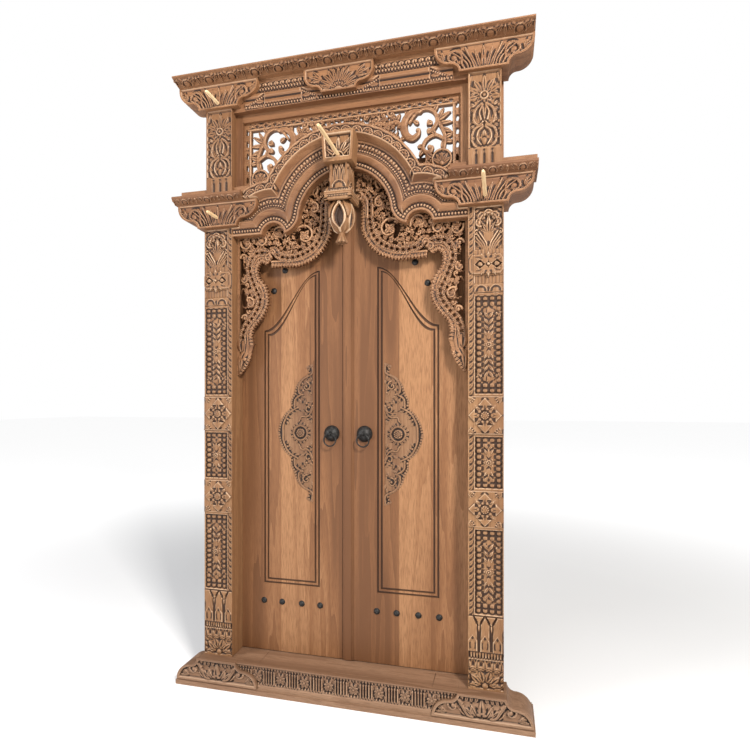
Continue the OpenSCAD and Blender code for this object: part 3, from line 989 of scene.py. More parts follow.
def carve(relief: Relief, stand: Stand, back: Callable[[float, float], float]) -> bmesh.types.BMesh:
    """Makes the closed mesh of a carved board.

    Args:
        relief: its face.
        stand: where the face lies.
        back: how far behind the face's plane the board ends at (u, v).

    Returns:
        The mesh, with each point's cavity in the layer "cut", which the finish turns into painted shade in
        hollows and a painted highlight on ridges.
    """
    bm = bmesh.new()
    bmesh.ops.create_grid(bm, x_segments=relief.count_u - 1, y_segments=relief.count_v - 1, size=1.0)
    cut = bm.verts.layers.float.new("cut")
    grad_v, grad_u = np.gradient(relief.inside, relief.step)
    steep = np.maximum(np.hypot(grad_u, grad_v), 1e-6)
    cavity = relief.cavity()
    gone = []
    spots: dict[bmesh.types.BMVert, tuple[float, float]] = {}
    for vert in bm.verts:
        col = round((vert.co.x + 1) / 2 * (relief.count_u - 1))
        row = round((vert.co.y + 1) / 2 * (relief.count_v - 1))
        depth = relief.inside[row, col]
        if depth < 0:
            gone.append(vert)
            continue
        u, v = relief.u[row, col], relief.v[row, col]
        if depth < 1.5 * relief.step:
            spots[vert] = (
                u - depth * grad_u[row, col] / steep[row, col] ** 2,
                v - depth * grad_v[row, col] / steep[row, col] ** 2,
            )
        vert[cut] = cavity[row, col]
        vert.co = (u, v, relief.height[row, col])
    bmesh.ops.delete(bm, geom=gone, context="VERTS")
    bmesh.ops.delete(bm, geom=[v for v in bm.verts if not v.link_faces], context="VERTS")
    rim = [e for e in bm.edges if e.is_boundary]
    for vert in {v for e in rim for v in e.verts}:
        if vert in spots:
            u, v = spots[vert]
            if math.hypot(u - vert.co.x, v - vert.co.y) < 1.6 * relief.step:
                vert.co.x, vert.co.y = u, v
    for vert in {v for e in rim for v in e.verts}:
        vert[cut] = 0.0
    for face in bm.faces:
        face.smooth = True
    rear_faces = []
    if relief.pierced:
        copied = bmesh.ops.duplicate(bm, geom=bm.verts[:] + bm.edges[:] + bm.faces[:])["geom"]
        rear_faces = [g for g in copied if isinstance(g, bmesh.types.BMFace)]
        for vert in {v for face in rear_faces for v in face.verts}:
            vert.co.z = -back(vert.co.x, vert.co.y)
            vert[cut] = 0.0
        bmesh.ops.reverse_faces(bm, faces=rear_faces)
    walls = bmesh.ops.extrude_edge_only(bm, edges=rim)
    for e in rim:
        e.smooth = False
    rear = [g for g in walls["geom"] if isinstance(g, bmesh.types.BMVert)]
    for vert in rear:
        vert.co.z = -back(vert.co.x, vert.co.y)
        vert[cut] = 0.0
    if relief.pierced:
        seam = rear + list({v for face in rear_faces for v in face.verts})
        bmesh.ops.remove_doubles(bm, verts=seam, dist=0.001)
    else:
        edges = [g for g in walls["geom"] if isinstance(g, bmesh.types.BMEdge) and g.is_boundary]
        bmesh.ops.triangle_fill(bm, use_beauty=False, use_dissolve=False, edges=edges)
    for vert in bm.verts:
        vert.co = stand.point(*vert.co)
    bmesh.ops.recalc_face_normals(bm, faces=bm.faces)
    return bm


# ---- the door's own pieces ------------------------------------------------------------------


class Finishes:
    """Every finish of the door, made once."""

    def __init__(self) -> None:
        """Makes the materials."""
        # In each teak the hollow colour is painted shade in carved recesses and the ridge colour a painted
        # highlight on raised carving.
        self.upright = Teak("teak_upright").make()
        self.across = Teak("teak_across", Grain.ACROSS).make()
        self.fret = Teak("teak_fretwork", Grain.ACROSS, (0.320, 0.159, 0.073, 1), (0.237, 0.110, 0.047, 1),
                         hollow=(0.022, 0.009, 0.004, 1), ridge=(0.50, 0.30, 0.165, 1)).make()
        self.post = Teak("teak_post", Grain.UPRIGHT, (0.299, 0.161, 0.073, 1), (0.236, 0.117, 0.050, 1),
                         (0.149, 0.064, 0.025, 1), (0.034, 0.014, 0.006, 1), (0.66, 0.47, 0.31, 1)).make()
        self.leaf = Teak("teak_leaf_boards", Grain.UPRIGHT, (0.309, 0.151, 0.066, 1),
                         (0.207, 0.089, 0.034, 1), (0.121, 0.048, 0.017, 1), board_width=0.131,
                         board_shift=0.05).make()
        self.wear_and_highlight = Teak("teak_worn", Grain.ACROSS, (0.310, 0.184, 0.108, 1), (0.235, 0.130, 0.074, 1),
                         (0.140, 0.070, 0.036, 1), (0.018, 0.008, 0.004, 1), (0.470, 0.305, 0.190, 1)).make()
        self.sunk = Teak("teak_medallion", Grain.UPRIGHT, (0.250, 0.132, 0.064, 1), (0.190, 0.094, 0.044, 1),
                         (0.110, 0.050, 0.024, 1), (0.014, 0.006, 0.003, 1), (0.400, 0.235, 0.125, 1)).make()
        self.pale = Teak("pale_pegs", Grain.OUTWARD, (0.86, 0.68, 0.42, 1), (0.76, 0.56, 0.32, 1),
                         (0.58, 0.38, 0.19, 1)).make()
        self.iron = Iron("black_iron").make()
        self.floor = Floor("white_floor").make()


@dataclass
class BracketBoards:
    """The boat-shaped bracket boards: a bud and fanned flames that curl into a ball at each side."""

    finishes: Finishes
    step: float = 2.4
    round_r: float = 62.0
    hollow_r: float = 32.0
    border: float = 9.0
    ground: float = 9.0

    @staticmethod
    def ogee(u: Array, v: Array, half: float, height: float, round_r: float, hollow_r: float) -> Array:
        """Distance inside the boat shape, wide at the top.

        Args:
            u: from its middle.
            v: from its foot.
            half: half width at the top.
            height: its height.
            round_r: radius of the round side.
            hollow_r: radius of the hollow below.

        Returns:
            The signed distance.
        """
        lip = height - round_r - hollow_r
        centre = half - round_r
        side = arc(centre, 0.0, hollow_r, 180, 90, 8) + arc(centre, height - lip, round_r, -90, 0, 14)
        side.append((half, height))
        return polygon_distance(u, v, side + [(-a, b) for a, b in reversed(side)])

    def flames(self, r: Relief, half: float, height: float, low: float) -> None:
        """Carves the fan of flames.

        Args:
            r: the face, its foot at v = 0.
            half: half width at the top.
            height: its height.
            low: half width at the foot.
        """
        top = height - self.border - 5
        r.ground = -self.ground
        up = 8.5
        r.petal(0, 6, 90, top - 8, 26, up + 2)
        r.bead(0, 0.46 * top, 8, up + 1, 1.5, 90)
        for s in (-1, 1):
            r.petal(s * 11, 4, 90 - s * 16, top * 0.88, 17, up, 0.7)
            r.petal(s * 24, 4, 90 - s * 26, top * 0.98, 18, up, 0.7)
            for k, (foot, reach, peak) in enumerate(((33, 66, 0.90), (44, 88, 0.86), (56, 112, 0.78))):
                line = smooth([(s * foot, 3), (s * (foot + 9), top * 0.36),
                               (s * (foot + reach) * 0.66, top * peak), (s * reach, top * (0.97 - 0.1 * k))],
                              6)
                r.stem(line, 4.2, up, 3.4)
            cu, cv, cr = half * 0.60, top * 0.60, top * 0.36
            r.scroll(s * cu, cv, cr, 90 + s * 62, -s * 0.95, 6.5, up + 1.5, cr * 0.36, Cut.VEINED)
            r.stem(smooth([(s * 66, 4), (s * 80, top * 0.3), (s * (cu - cr * 0.95), top * 0.6),
                           (s * (cu - cr * 0.55), cv + cr * 0.86)], 6), 4.4, up, 5.5)
            r.stem(smooth([(s * (low - 12), 8), (s * (cu - 4), top * 0.22),
                           (s * (cu + cr * 0.5), top * 0.3)], 5), 3.6, up * 0.8, 2.6)
            for a, size in ((38, 44), (72, 34), (8, 30), (-30, 24)):
                r.petal(s * (half * 0.8), top * 0.6, 90 - s * (90 - a), size, 15, up, 0.7)

    def board(self, node: str, middle: float, foot: float, front: float, height: float, half: float,
              deep: tuple[float, float, float], mirrored: bool) -> None:
        """Makes one bracket.

        Args:
            node: the CAD node it stands for.
            middle: X of its middle.
            foot: Z of its foot.
            front: Y of its front.
            height: its height.
            half: half width at the top.
            deep: depth of the part over the doorway, X where the post begins, and depth beyond it.
            mirrored: True on the left side.
        """
        r = Relief(-half - 3, half + 3, -3, height + 3, self.step)
        edge = self.ogee(r.u, r.v, half, height, self.round_r, self.hollow_r)
        r.trim(edge)
        r.lower(edge, self.border, self.ground)
        self.flames(r, half, height, half - self.round_r - self.hollow_r)
        keep = np.clip((edge - self.border + 3) / 3, 0, 1)
        r.level(edge < self.border + 2, np.minimum(r.height, -self.ground * keep))
        r.border(edge, self.border, 0.6, 2.5)
        shallow, start, full = deep
        bm = carve(r, Stand((middle, front, foot), mirrored=mirrored),
                   lambda u, v: full if middle + u > start else shallow)
        finished(f"{node}_carved", bm, self.finishes.across, [node])

    def build(self) -> None:
        """Makes the four brackets and the middle cartouche."""
        post = place_of("right_post")
        for level in ("lower", "upper"):
            x0, x1, y0, y1, z0, z1 = place_of(f"right_{level}_bracket")
            shallow = (post[2] + 8 if level == "lower" else place_of("top_beam")[2]) - y0
            for side, mirrored in SIDES:
                self.board(f"{side}_{level}_bracket", (x0 + x1) / 2, z0, y0, z1 - z0, (x1 - x0) / 2,
                           (shallow, post[0], y1 - y0), mirrored)
        self.cartouche()

    def cartouche(self) -> None:
        """Makes the half sunburst in the middle of the top beam."""
        x0, x1, y0, y1, z0, z1 = place_of("center_cartouche")
        half, height = (x1 - x0) / 2, z1 - z0
        r = Relief(-half - 3, half + 3, -3, height + 3, self.step)
        r.ground = -self.ground
        edge = self.ogee(r.u, r.v, half, height, 48, 26)
        r.trim(edge)
        r.lower(edge, self.border, self.ground)
        r.fan(0, 6, 34, height - 12, 2, 178, 13, 8.5, 1.15)
        r.fan(0, 4, 14, 38, 0, 180, 9, 9.5, 1.2, Cut.HOLLOW)
        r.bead(0, 4, 17, 11)
        for s in (-1, 1):
            for a, size in ((20, 50), (46, 46), (-8, 40)):
                r.petal(s * (half - 74), height * 0.52, 90 - s * (90 - a), size + 8, 18, 8.5, 0.7)
        r.level(edge < self.border + 1, np.minimum(r.height, r.ground))
        r.border(edge, self.border, 0.6, 2.5)
        bm = carve(r, Stand(((x0 + x1) / 2, y0, z0)), lambda u, v: y1 - y0)
        finished("cartouche_carved", bm, self.finishes.across, ["center_cartouche"])


@dataclass
class BaseBoards:
    """The two base blocks under the posts, and the carved apron between them."""

    finishes: Finishes
    step: float = 2.4
    border: float = 10.0
    ground: float = 12.0

    def block(self, side: str, mirrored: bool) -> None:
        """Makes one block: a bud in petals between two scrolls.

        Args:
            side: "left" or "right".
            mirrored: True on the left.
        """
        x0, x1, y0, y1, z0, z1 = place_of("right_base_block")
        half, height = (x1 - x0) / 2, z1 - z0
        r = Relief(-half - 3, half + 3, -3, height + 3, self.step)
        r.ground = -self.ground
        edge = BracketBoards.ogee(r.u, height - r.v, half, height, 64, 32)
        r.trim(edge)
        r.lower(edge, self.border, self.ground)
        top = height - self.border
        r.petal(0, 10, 90, top - 14, 32, 14, 0.5)
        r.stem(arc(0, 28, 17, 200, -20, 14), 3.2, 8)
        r.fan(0, 18, 6, 22, 30, 150, 3, 12, cut=Cut.ROUND)
        for s in (-1, 1):
            for a, size, u in ((62, 40, 16), (38, 44, 20), (84, 30, 34), (110, 30, 46)):
                r.petal(s * u, 12, 90 - s * (90 - a), size + 14, 17, 11.5)
            cu, cv, cr = half * 0.56, top * 0.56, top * 0.38
            r.scroll(s * cu, cv, cr, 90 + s * 70, -s * 0.95, 7.0, 13, cr * 0.36)
            r.stem(smooth([(s * 34, 15), (s * 52, 20), (s * 68, 44), (s * (cu - cr * 0.4), cv + cr * 0.94)],
                          6), 5.5, 12.5, 7.0, Cut.VEINED)
            r.stem(smooth([(s * 46, 13), (s * 66, 18), (s * 80, 34)], 5), 3.6, 7, 3)
            for a, size, u, v in ((20, 40, 0.72, 0.22), (48, 34, 0.74, 0.20), (-2, 48, 0.7, 0.17),
                                  (70, 26, 0.5, 0.78), (100, 24, 0.40, 0.78), (40, 26, 0.6, 0.78)):
                r.petal(s * half * u, top * v + 4, 90 - s * (90 - a), size, 13, 10.5, 0.65)
            for u in (18, 36, 54, 72):
                r.petal(s * u, top - 2, -90 + s * 14, 22, 15, 7.5)
        r.level(edge < self.border + 1, np.minimum(r.height, r.ground))
        r.border(edge, self.border, 0.6, 3.0)
        bm = carve(r, Stand(((x0 + x1) / 2, y0, z0), mirrored=mirrored), lambda u, v: y1 - y0)
        finished(f"{side}_base_block_carved", bm, self.finishes.wear_and_highlight,
                 [f"{side}_base_block"])

    def apron(self) -> None:
        """Makes the apron: groups of small balusters between leaf knots, under a hanging fringe."""
        x0, x1, y0, y1, z0, z1 = place_of("apron_strip")
        height = z1 - z0
        block = place_of("right_base_block")
        reach = place_of("right_post")[0]
        r = Relief(-reach, reach, 0, height, self.step)
        r.ground = -9.0
        r.sink(-reach - 9, reach + 9, 16, height - 6, 9, 3)
        groups = 7
        pitch = (x1 - x0) / groups
        for k in range(-2, groups + 2):
            middle = x0 + (k + 0.5) * pitch
            for n in (-2, -1, 0, 1, 2):
                u = middle + n * 11.5
                r.stem([(u, 22), (u, height - 22)], 3.6, 7.5)
                r.bead(u, 24, 5, 8)
                r.bead(u, height - 26, 5, 8)
            for n in (-1, 1):
                edge = middle + n * pitch / 2
                r.bead(edge, height * 0.5, 6.5, 9)
                for a in (70, 110, 250, 290, 20, 160, 200, 340):
                    r.petal(edge, height * 0.5, a, 25, 11, 7.5, 0.7)
        for u, v, _ in spaced([(-reach, height - 6), (reach, height - 6)], 13):
            r.petal(u, v + 3, -90, 17, 12.5, 6, 0.5, base=-7)
            r.petal(u + 4, 14, 90, 13, 11, 6, 0.5, base=-7)
        r.height = np.minimum(r.height, 0.0)
        half = (block[1] - block[0]) / 2
        under = BracketBoards.ogee(np.abs(r.u) - block[0] - half, height - r.v, half, height, 64, 32)
        r.level(under > -1, -13.0)
        bm = carve(r, Stand((0, y0, z0)), lambda u, v: y1 - y0 if abs(u) < x1 + 2 else block[3] - y0 - 1)
        finished("apron_carved", bm, self.finishes.wear_and_highlight, ["apron_strip"])

    def build(self) -> None:
        """Makes both blocks and the apron."""
        for side, mirrored in SIDES:
            self.block(side, mirrored)
        self.apron()


@dataclass
class PostBoards:
    """The lower and upper posts, carved in bands from foot to head."""

    finishes: Finishes
    step: float = 2.6
    strip: float = 21.0
    arris: float = 4.0
    tongue: float = 12.0

    def beads(self, r: Relief, z0: float, z1: float) -> None:
        """A panel of bead columns in dark channels, with a leaf strip between and bead clusters at its ends.

        Args:
            r: the face.
            z0: its foot.
            z1: its head.
        """
        left, right = self.strip + 4, r.limits[1] - self.arris
        middle = (left + right) / 2
        wide = right - left
        end = min(86.0, (z1 - z0) * 0.2)
        r.ground = -9.0
        r.sink(left, right, z0 + 8, z1 - 8, 9, 2)
        cols = [left + wide * (k + 0.5) / 4 for k in range(4)]
        for z_end, way in ((z0, 1), (z1, -1)):
            for row in range(2 if end < 60 else 3):
                v = z_end + way * (20 + 20 * row)
                for k, u in enumerate(cols):
                    if row == 2 and k in (1, 2):
                        continue
                    r.bead(u, v, 9.6, 9.5)
                    r.petal(u, v - way * 6, -90 * way, 13, 9, 6, 0.5, Cut.ROUND)
            if end >= 60:
                r.petal(cols[1] + 4, z_end + way * 54, 90 * way, 34, 26, 8.5)
                for s in (-1, 1):
                    r.sprig(middle + s * wide * 0.34, z_end + way * 72, 90 * way + s * way * -20, 24, 8)
        low, high = z0 + end + 8, z1 - end - 8
        for s in (-1, 1):
            r.row([(middle + s * wide * 0.36, low), (middle + s * wide * 0.36, high)], 21.5, 9.8, 10)
        ladder = [(middle, low - 14), (middle, high + 14)]
        r.stem(ladder, wide * 0.17, 5.5)
        flower = (z0 + z1) / 2
        for way in (-1, 1):
            for u, v, _ in spaced([(middle, flower + way * 20),
                                   (middle, (high if way > 0 else low) + way * 6)], 24):
                for s in (-1, 1):
                    r.petal(u + s, v, 90 * way - s * way * 38, 26, 11.5, 6.0, 0.7, base=r.ground + 5)
            r.petal(middle, flower + way * 20, 90 * way, 34, 14, 7.0, base=r.ground + 5)
        r.rosette(middle, flower, 20, 8, 8.5, r.ground + 4)

    def boss(self, r: Relief, z0: float, z1: float) -> None:
        """A square block with a stepped diamond and a rosette.

        Args:
            r: the face.
            z0: its foot.
            z1: its head.
        """
        left, right = 0.0, r.limits[1]
        u, v, half = (left + right) / 2 - 3, (z0 + z1) / 2, (z1 - z0) / 2
        r.ground = 6.0
        inner = np.minimum(r.v - z0, z1 - r.v)
        r.level(inner > 0, 8.0 * np.clip(inner / 2.5, 0, 1))
        spread = np.abs(r.u - u) / ((right - left) / 2 - 4) + np.abs(r.v - v) / (half - 5)
        r.level((spread >= 1) & (inner > 3), 2.5)
        r.level((spread < 1) & (inner > 0), 8 + 3.5 * np.clip((1 - spread) * 22, 0, 1))
        square = np.maximum(np.abs(r.u - u), np.abs(r.v - v))
        r.level(square < 38, 5.0)
        r.level(square < 32, 8.0)
        for k in range(4):
            a = 45 + 90 * k
            c, s = math.copysign(1, math.cos(math.radians(a))), math.copysign(1, math.sin(math.radians(a)))
            for turn in (-24, 0, 24):
                r.petal(u + c * 62, v + s * (half - 3), a + 180 + turn, 30, 9, 6.5, base=2.5)
        for k in range(4):
            a = math.radians(90 * k)
            r.petal(u + 22 * math.cos(a), v + 22 * math.sin(a), 90 * k, 38, 20, 7.5, 0.5)
            r.petal(u + 24 * math.cos(a + 0.785), v + 24 * math.sin(a + 0.785), 90 * k + 45, 24, 14, 7.0,
                    0.55)
        r.fan(u, v, 19, 31, 0, 360, 10, 7.5, 0.95, Cut.ROUND, 7.0)
        r.bead(u, v, 16, 7.5, base=8.5)
        for ring, count in ((12, 10), (6, 5)):
            for k in range(count):
                a = 2 * math.pi * k / count
                r.bead(u + ring * math.cos(a), v + ring * math.sin(a), 2.9, 2.6,
                       base=14.0 + (12 - ring) * 0.1)

    def head(self, r: Relief, base: float) -> None:
        """The bands under the bracket: cusped niche, dentils, eye block, more dentils and half circles.

        Args:
            r: the face.
            base: Z of the post's foot.
        """
        left, right = self.strip + 2, r.limits[1] - self.arris
        m, w = (left + right) / 2, right - left

        def z(height: float) -> float:
            """A height above the floor as a height on the relief."""
            return height - base

        r.sink(left, right, z(1792), z(1954), 8, 3)
        r.ground, top = -8.0, z(1898)
        for a in (90, 42, 138, -4, 184):
            c, s = heading(a)
            r.bead(m + 31 * c, top + 29 * s, 20, 9)
        hood = np.hypot(r.u - m, r.v - top)
        r.level(hood < 31, -15)
        for a in (90, 42, 138, -4, 184):
            c, s = heading(a)
            r.stem(arc(m + 31 * c, top + 29 * s, 15, a - 100, a + 100, 14), 3.2, 11)
            r.petal(m + 22 * c, top + 20 * s, a, 24, 17, 8.5, 0.8, Cut.HOLLOW, r.ground - 2)
        r.petal(m, z(1862), 90, 62, 26, 16, 0.5, base=-14)
        for s in (-1, 1):
            r.petal(m + s * 4, z(1862), 90 - s * 30, 44, 17, 13, base=-14)
            r.petal(m + s * 4, z(1858), 90 - s * 62, 34, 15, 11, base=-14)
            for k in range(4):
                r.stem(smooth([(m + s * (4 + 6 * k), z(1794)), (m + s * (8 + 9 * k), z(1816)),
                               (m + s * (20 + 10 * k), z(1838 - 3 * k)),
                               (m + s * (34 + 6 * k), z(1860 - 9 * k))], 5), 4.4, 9.5 - k, 3.4)
            r.scroll(m + s * w * 0.42, z(1858), 11, 90, -s * 0.8, 3.4, 9, 4)
            for k in range(5):
                r.petal(m + s * w * 0.49, z(1952 - 17 * k), 180 * (s > 0) - s * 35, 22, 12, 7)
        r.bead(m, z(1800), 11, 9)
        for k in range(8):
            u = left + w * (k + 0.5) / 8
            r.stem([(u, z(1777)), (u, z(1789))], w / 24, 4, cut=Cut.FLAT, base=-3)
            r.stem([(u, z(1668)), (u, z(1693))], w / 22, 7, cut=Cut.FLAT, base=-6)
        r.sink(left, right, z(1664), z(1697), 7, 2)
        block = polygon_distance(r.u, r.v, [(2, z(1712)), (14, z(1699)), (right - 8, z(1699)),
                                            (right + 4, z(1712)), (right + 4, z(1758)), (right - 8, z(1774)),
                                            (14, z(1774)), (2, z(1758))])
        r.level(block > 0, 8 * np.clip(block / 3, 0, 1))
        r.level(block > 9, 6.5)
        for a in range(0, 360, 30):
            c, s = heading(a)
            r.petal(m + 30 * c, z(1736) + 22 * s, a, 26, 10, 5, base=6)
        for s in (-1, 0, 1):
            wide, high = (21, 18) if s else (12, 13)
            eye = 1 - (np.abs(r.u - m - s * 31) / wide + np.abs(r.v - z(1736)) / high)
            r.level(eye > 0, 8 - 10 * np.clip(eye * 5, 0, 1))
            r.bead(m + s * 31, z(1736), 9.5 if s else 6.5, 13, base=0)
        for s in (-1, 1):
            r.bead(m + s * w * 0.26, z(1637), w * 0.17, 8, base=-4)
            r.stem(arc(m + s * w * 0.26, z(1636), w * 0.21, 0, 180, 14), 2.6, 7, base=-3)
        r.groove([(left, z(1663)), (right, z(1663))], 3, 5)
        r.groove([(left, z(1629)), (right, z(1629))], 3, 5)

    def foot(self, r: Relief, base: float) -> None:
        """The bands above the base: pointed arches, teeth, and a half lotus in leaves.

        Args:
            r: the face.
            base: Z of the post's foot.
        """
        right = r.limits[1]

        def z(height: float) -> float:
            """A height above the floor as a height on the relief."""
            return height - base

        m = right / 2 - 3
        r.ground = -8.0
        r.sink(0, right, z(398), z(404), 5, 2)
        for k in (-1, 0, 1):
            u = m + k * 46
            r.petal(u, z(300), 90, 100, 44, 4, 0.35, Cut.FLAT, -1)
            r.stem([(u - 16, z(270)), (u - 16, z(306)), (u, z(330)), (u + 16, z(306)), (u + 16, z(270))],
                   2.8, 6, base=0)
            r.bead(u, z(292), 10, 3, 1.7, 90, base=0)
        for k in (-0.5, 0.5):
            u = m + k * 46
            r.groove([(u - 5, z(270)), (u - 5, z(372))], 3.0, 7)
            r.groove([(u + 5, z(270)), (u + 5, z(372))], 3.0, 7)
            for s in (-1, 1):
                r.groove([(u + s * 3, z(368)), (u + s * 19, z(396))], 5, 9)
            r.petal(u, z(366), 90, 32, 10, 6, cut=Cut.ROUND, base=-4)
        r.sink(0, right, z(238), z(266), 7, 2)
        for k in range(11):
            u = 6 + (right - 12) * (k + 0.5) / 11
            r.petal(u, z(266), -90, 29, 10.5, 8, 0.45, Cut.ROUND, -7)
        r.sink(0, right, z(128), z(236), 8, 2)
        for k in range(-2, 3):
            r.sprig(m + k * 30, z(196), 90, 40, 9)
        r.fan(m, z(134), 26, 66, 2, 178, 6, 9.5, 0.95)
        r.fan(m, z(134), 20, 50, 16, 164, 5, 11.5, 0.95)
        r.fan(m, z(134), 12, 33, 0, 180, 5, 13.0, 1.0, Cut.HOLLOW)
        r.bead(m, z(138), 12, 14)
        for s in (-1, 1):
            for k in range(3):
                r.petal(m + s * 58, z(134 + 22 * k), 90 - s * 28, 30, 14, 8)

    def lower(self) -> None:
        """Makes both lower posts."""
        x0, x1, y0, y1, z0, z1 = place_of("right_post")
        face = place_of("right_upper_post")[2]
        r = Relief(0, x1 - x0, 0, z1 - z0, self.step)
        self.head(r, z0)
        self.foot(r, z0)
        for low, high in ((1237, 1627), (878, 1090), (401, 738)):
            self.beads(r, low - z0, high - z0)
        edge = [(self.strip, 401 - z0), (self.strip, z1 - z0)]
        r.groove(edge, 2.2, 3.5)
        r.sink(3, self.strip - 2, 404 - z0, z1 - z0, 3.5, 2)
        r.ground = -3.5
        for k in range(int((z1 - 410) // 26)):
            r.petal(3, 410 - z0 + 26 * k, 52, 27, 17, 4, 0.5)
        for low, high in ((1090, 1237), (738, 878)):
            self.boss(r, low + 1 - z0, high - 1 - z0)
        for side, mirrored in SIDES:
            bm = carve(r, Stand((x0, face, z0), mirrored=mirrored), lambda u, v: y1 - face)
            finished(f"{side}_post_carved", bm, self.finishes.post, [f"{side}_post"])

    def upper(self) -> None:
        """Makes both upper posts: a flower over bell leaves, a bud in an oval, and flutes at the foot."""
        x0, x1, y0, y1, z0, z1 = place_of("right_upper_post")
        r = Relief(0, x1 - x0, 0, z1 - z0, self.step)
        w, h = x1 - x0, z1 - z0
        m = w / 2 - 2
        r.ground = -9.0
        r.sink(6, w - 5, 92, h - 4, 9, 3)
        flower = h - 92
        r.rosette(m, flower, 34, 10, 11)
        for a in (90, 58, 122, 30, 150, -8, 188):
            c, s = heading(a)
            r.petal(m + 27 * c, flower + 27 * s, a, 52 if a == 90 else 46, 25, 8)
        for s in (-1, 1):
            r.petal(m + s * 52, h - 6, -90 + s * 12, 56, 20, 8.5)
            r.stem(smooth([(m + s * 9, flower - 32), (m + s * 34, flower - 54), (m + s * 40, flower - 92),
                           (m + s * 20, flower - 112), (m + s * 5, flower - 100)], 6), 6, 9, 4, Cut.VEINED)
            r.stem(smooth([(m + s * 5, flower - 36), (m + s * 17, flower - 62), (m + s * 12, flower - 92)],
                          6), 5, 8.5, 4)
            r.stem(smooth([(m + s * 7, flower - 112), (m + s * 38, flower - 126), (m + s * 46, flower - 165),
                           (m + s * 30, flower - 196), (m, flower - 206)], 6), 5.5, 9, 4, Cut.VEINED)
            r.stem(smooth([(m + s * 4, flower - 118), (m + s * 22, flower - 134), (m + s * 26, flower - 162),
                           (m + s * 12, flower - 186)], 6), 4.4, 7.5, 3)
            for k in range(7):
                v = h - 66 - 31 * k
                r.petal(m + s * 54, v + 8, 90 + s * (62 if k % 2 else 118), 24, 15, 8)
                r.bead(m + s * 54, v - 4, 6.5, 7)
        r.petal(m, flower - 34, -90, 62, 20, 9.5, 0.5)
        r.bead(m, flower - 174, 9.5, 10, 1.7, 90)
        r.petal(m, flower - 154, 90, 26, 16, 9, 0.5)
        for s in (-1, 0, 1):
            r.groove([(m + s * 30, 0), (m + s * 30, 74)], 11, 9)
            r.bead(m + s * 30, 74, 10, 4, base=-7)
        r.groove([(4, 90), (w - 4, 90)], 3.5, 5)
        tongue_top = place_of("right_ledge")[5] - z0 + 1
        for side, mirrored in SIDES:
            bm = carve(r, Stand((x0, y0, z0), mirrored=mirrored),
                       lambda u, v: y1 - y0 if v > tongue_top else self.tongue)
            finished(f"{side}_upper_post_carved", bm, self.finishes.post,
                     [f"{side}_upper_post"])

    def build(self) -> None:
        """Makes all four posts."""
        self.lower()
        self.upper()


@dataclass
class Mouldings:
    """Egg-and-leaf bands: the cornice's and those of the two ledges."""

    finishes: Finishes
    step: float = 2.6
    pitch: float = 106.0

    def eggs(self, r: Relief, v0: float, v1: float, shift: float = 0.0) -> None:
        """Alternates an egg under a hood with a wide leaf.

        Args:
            r: the face, running along u.
            v0: the band's foot.
            v1: the band's head.
            shift: where the first egg stands, in shares of the pitch.
        """
        h = v1 - v0
        u0, u1 = r.limits[0], r.limits[1]
        count = round((u1 - u0) / self.pitch)
        for k in range(-1, count + 1):
            u = u0 + (k + 0.5 + shift) * (u1 - u0) / count
            r.bead(u, v0 + h * 0.46, h * 0.34, 9, 1.15, 90)
            r.stem(arc(u, v0 + h * 0.42, h * 0.46, -25, 205, 16), 3.4, 7)
            r.bead(u, v0 + h * 0.84, 4.5, 8)
            mid = u + self.pitch / 2
            for a, size in ((-90, 0.95), (-62, 0.85), (-118, 0.85), (-38, 0.78), (-142, 0.78)):
                r.petal(mid + (a + 90) * 0.42, v1 - 2, a, h * size, h * 0.36, 7)
            r.bead(mid, v1 - 7, 5.0, 8)
            for s in (-1, 1):
                r.stem(smooth([(u + s * h * 0.5, v0 + h * 0.35), (u + s * h * 0.72, v0 + h * 0.8),
                               (u + s * h * 0.95, v0 + h * 0.9)], 5), 3.0, 6, 2.4)

    def sloped(self, name: str, along: Point, foot: Point, head: Point, thick: float,
               mirrored: bool = False) -> None:
        """Lays an egg band on a sloping face that looks forward and down.

        Args:
            name: the piece's name.
            along: X of its two ends.
            foot: (Y, Z) of the slope's foot.
            head: (Y, Z) of its head.
            thick: how far its plain back reaches into the wood.
            mirrored: True on the left side.
        """
        dy, dz = head[0] - foot[0], head[1] - foot[1]
        size = math.hypot(dy, dz)
        r = Relief(along[0], along[1], 0, size, self.step)
        self.eggs(r, 3, size - 3)
        r.height = np.minimum(r.height, 8.0) * np.clip(np.minimum(r.v, size - r.v) / 3, 0, 1)
        stand = Stand((0, foot[0], foot[1]), up=(0, dy / size, dz / size), out=(0, -dz / size, dy / size),
                      mirrored=mirrored)
        finished(name, carve(r, stand, lambda u, v: thick), self.finishes.across)

    def build(self) -> None:
        """Makes the cornice's band and the two ledges' bands."""
        x0, x1, y0, y1, z0, z1 = place_of("cornice")
        under = place_of("right_upper_bracket")[2]
        self.sloped("cornice_eggs", (x0 + 1, x1 - 1), (under + 2, z0 + 0.6), (y0 + 6, z1 - 8), 1.5)
        x0, x1, y0, y1, z0, z1 = place_of("right_ledge")
        under = place_of("right_lower_bracket")[2]
        for side, mirrored in SIDES:
            self.sloped(f"{side}_ledge_eggs", (x0 + 1, x1 - 1), (under, z0), (y0, z0 + 21), 1.5, mirrored)


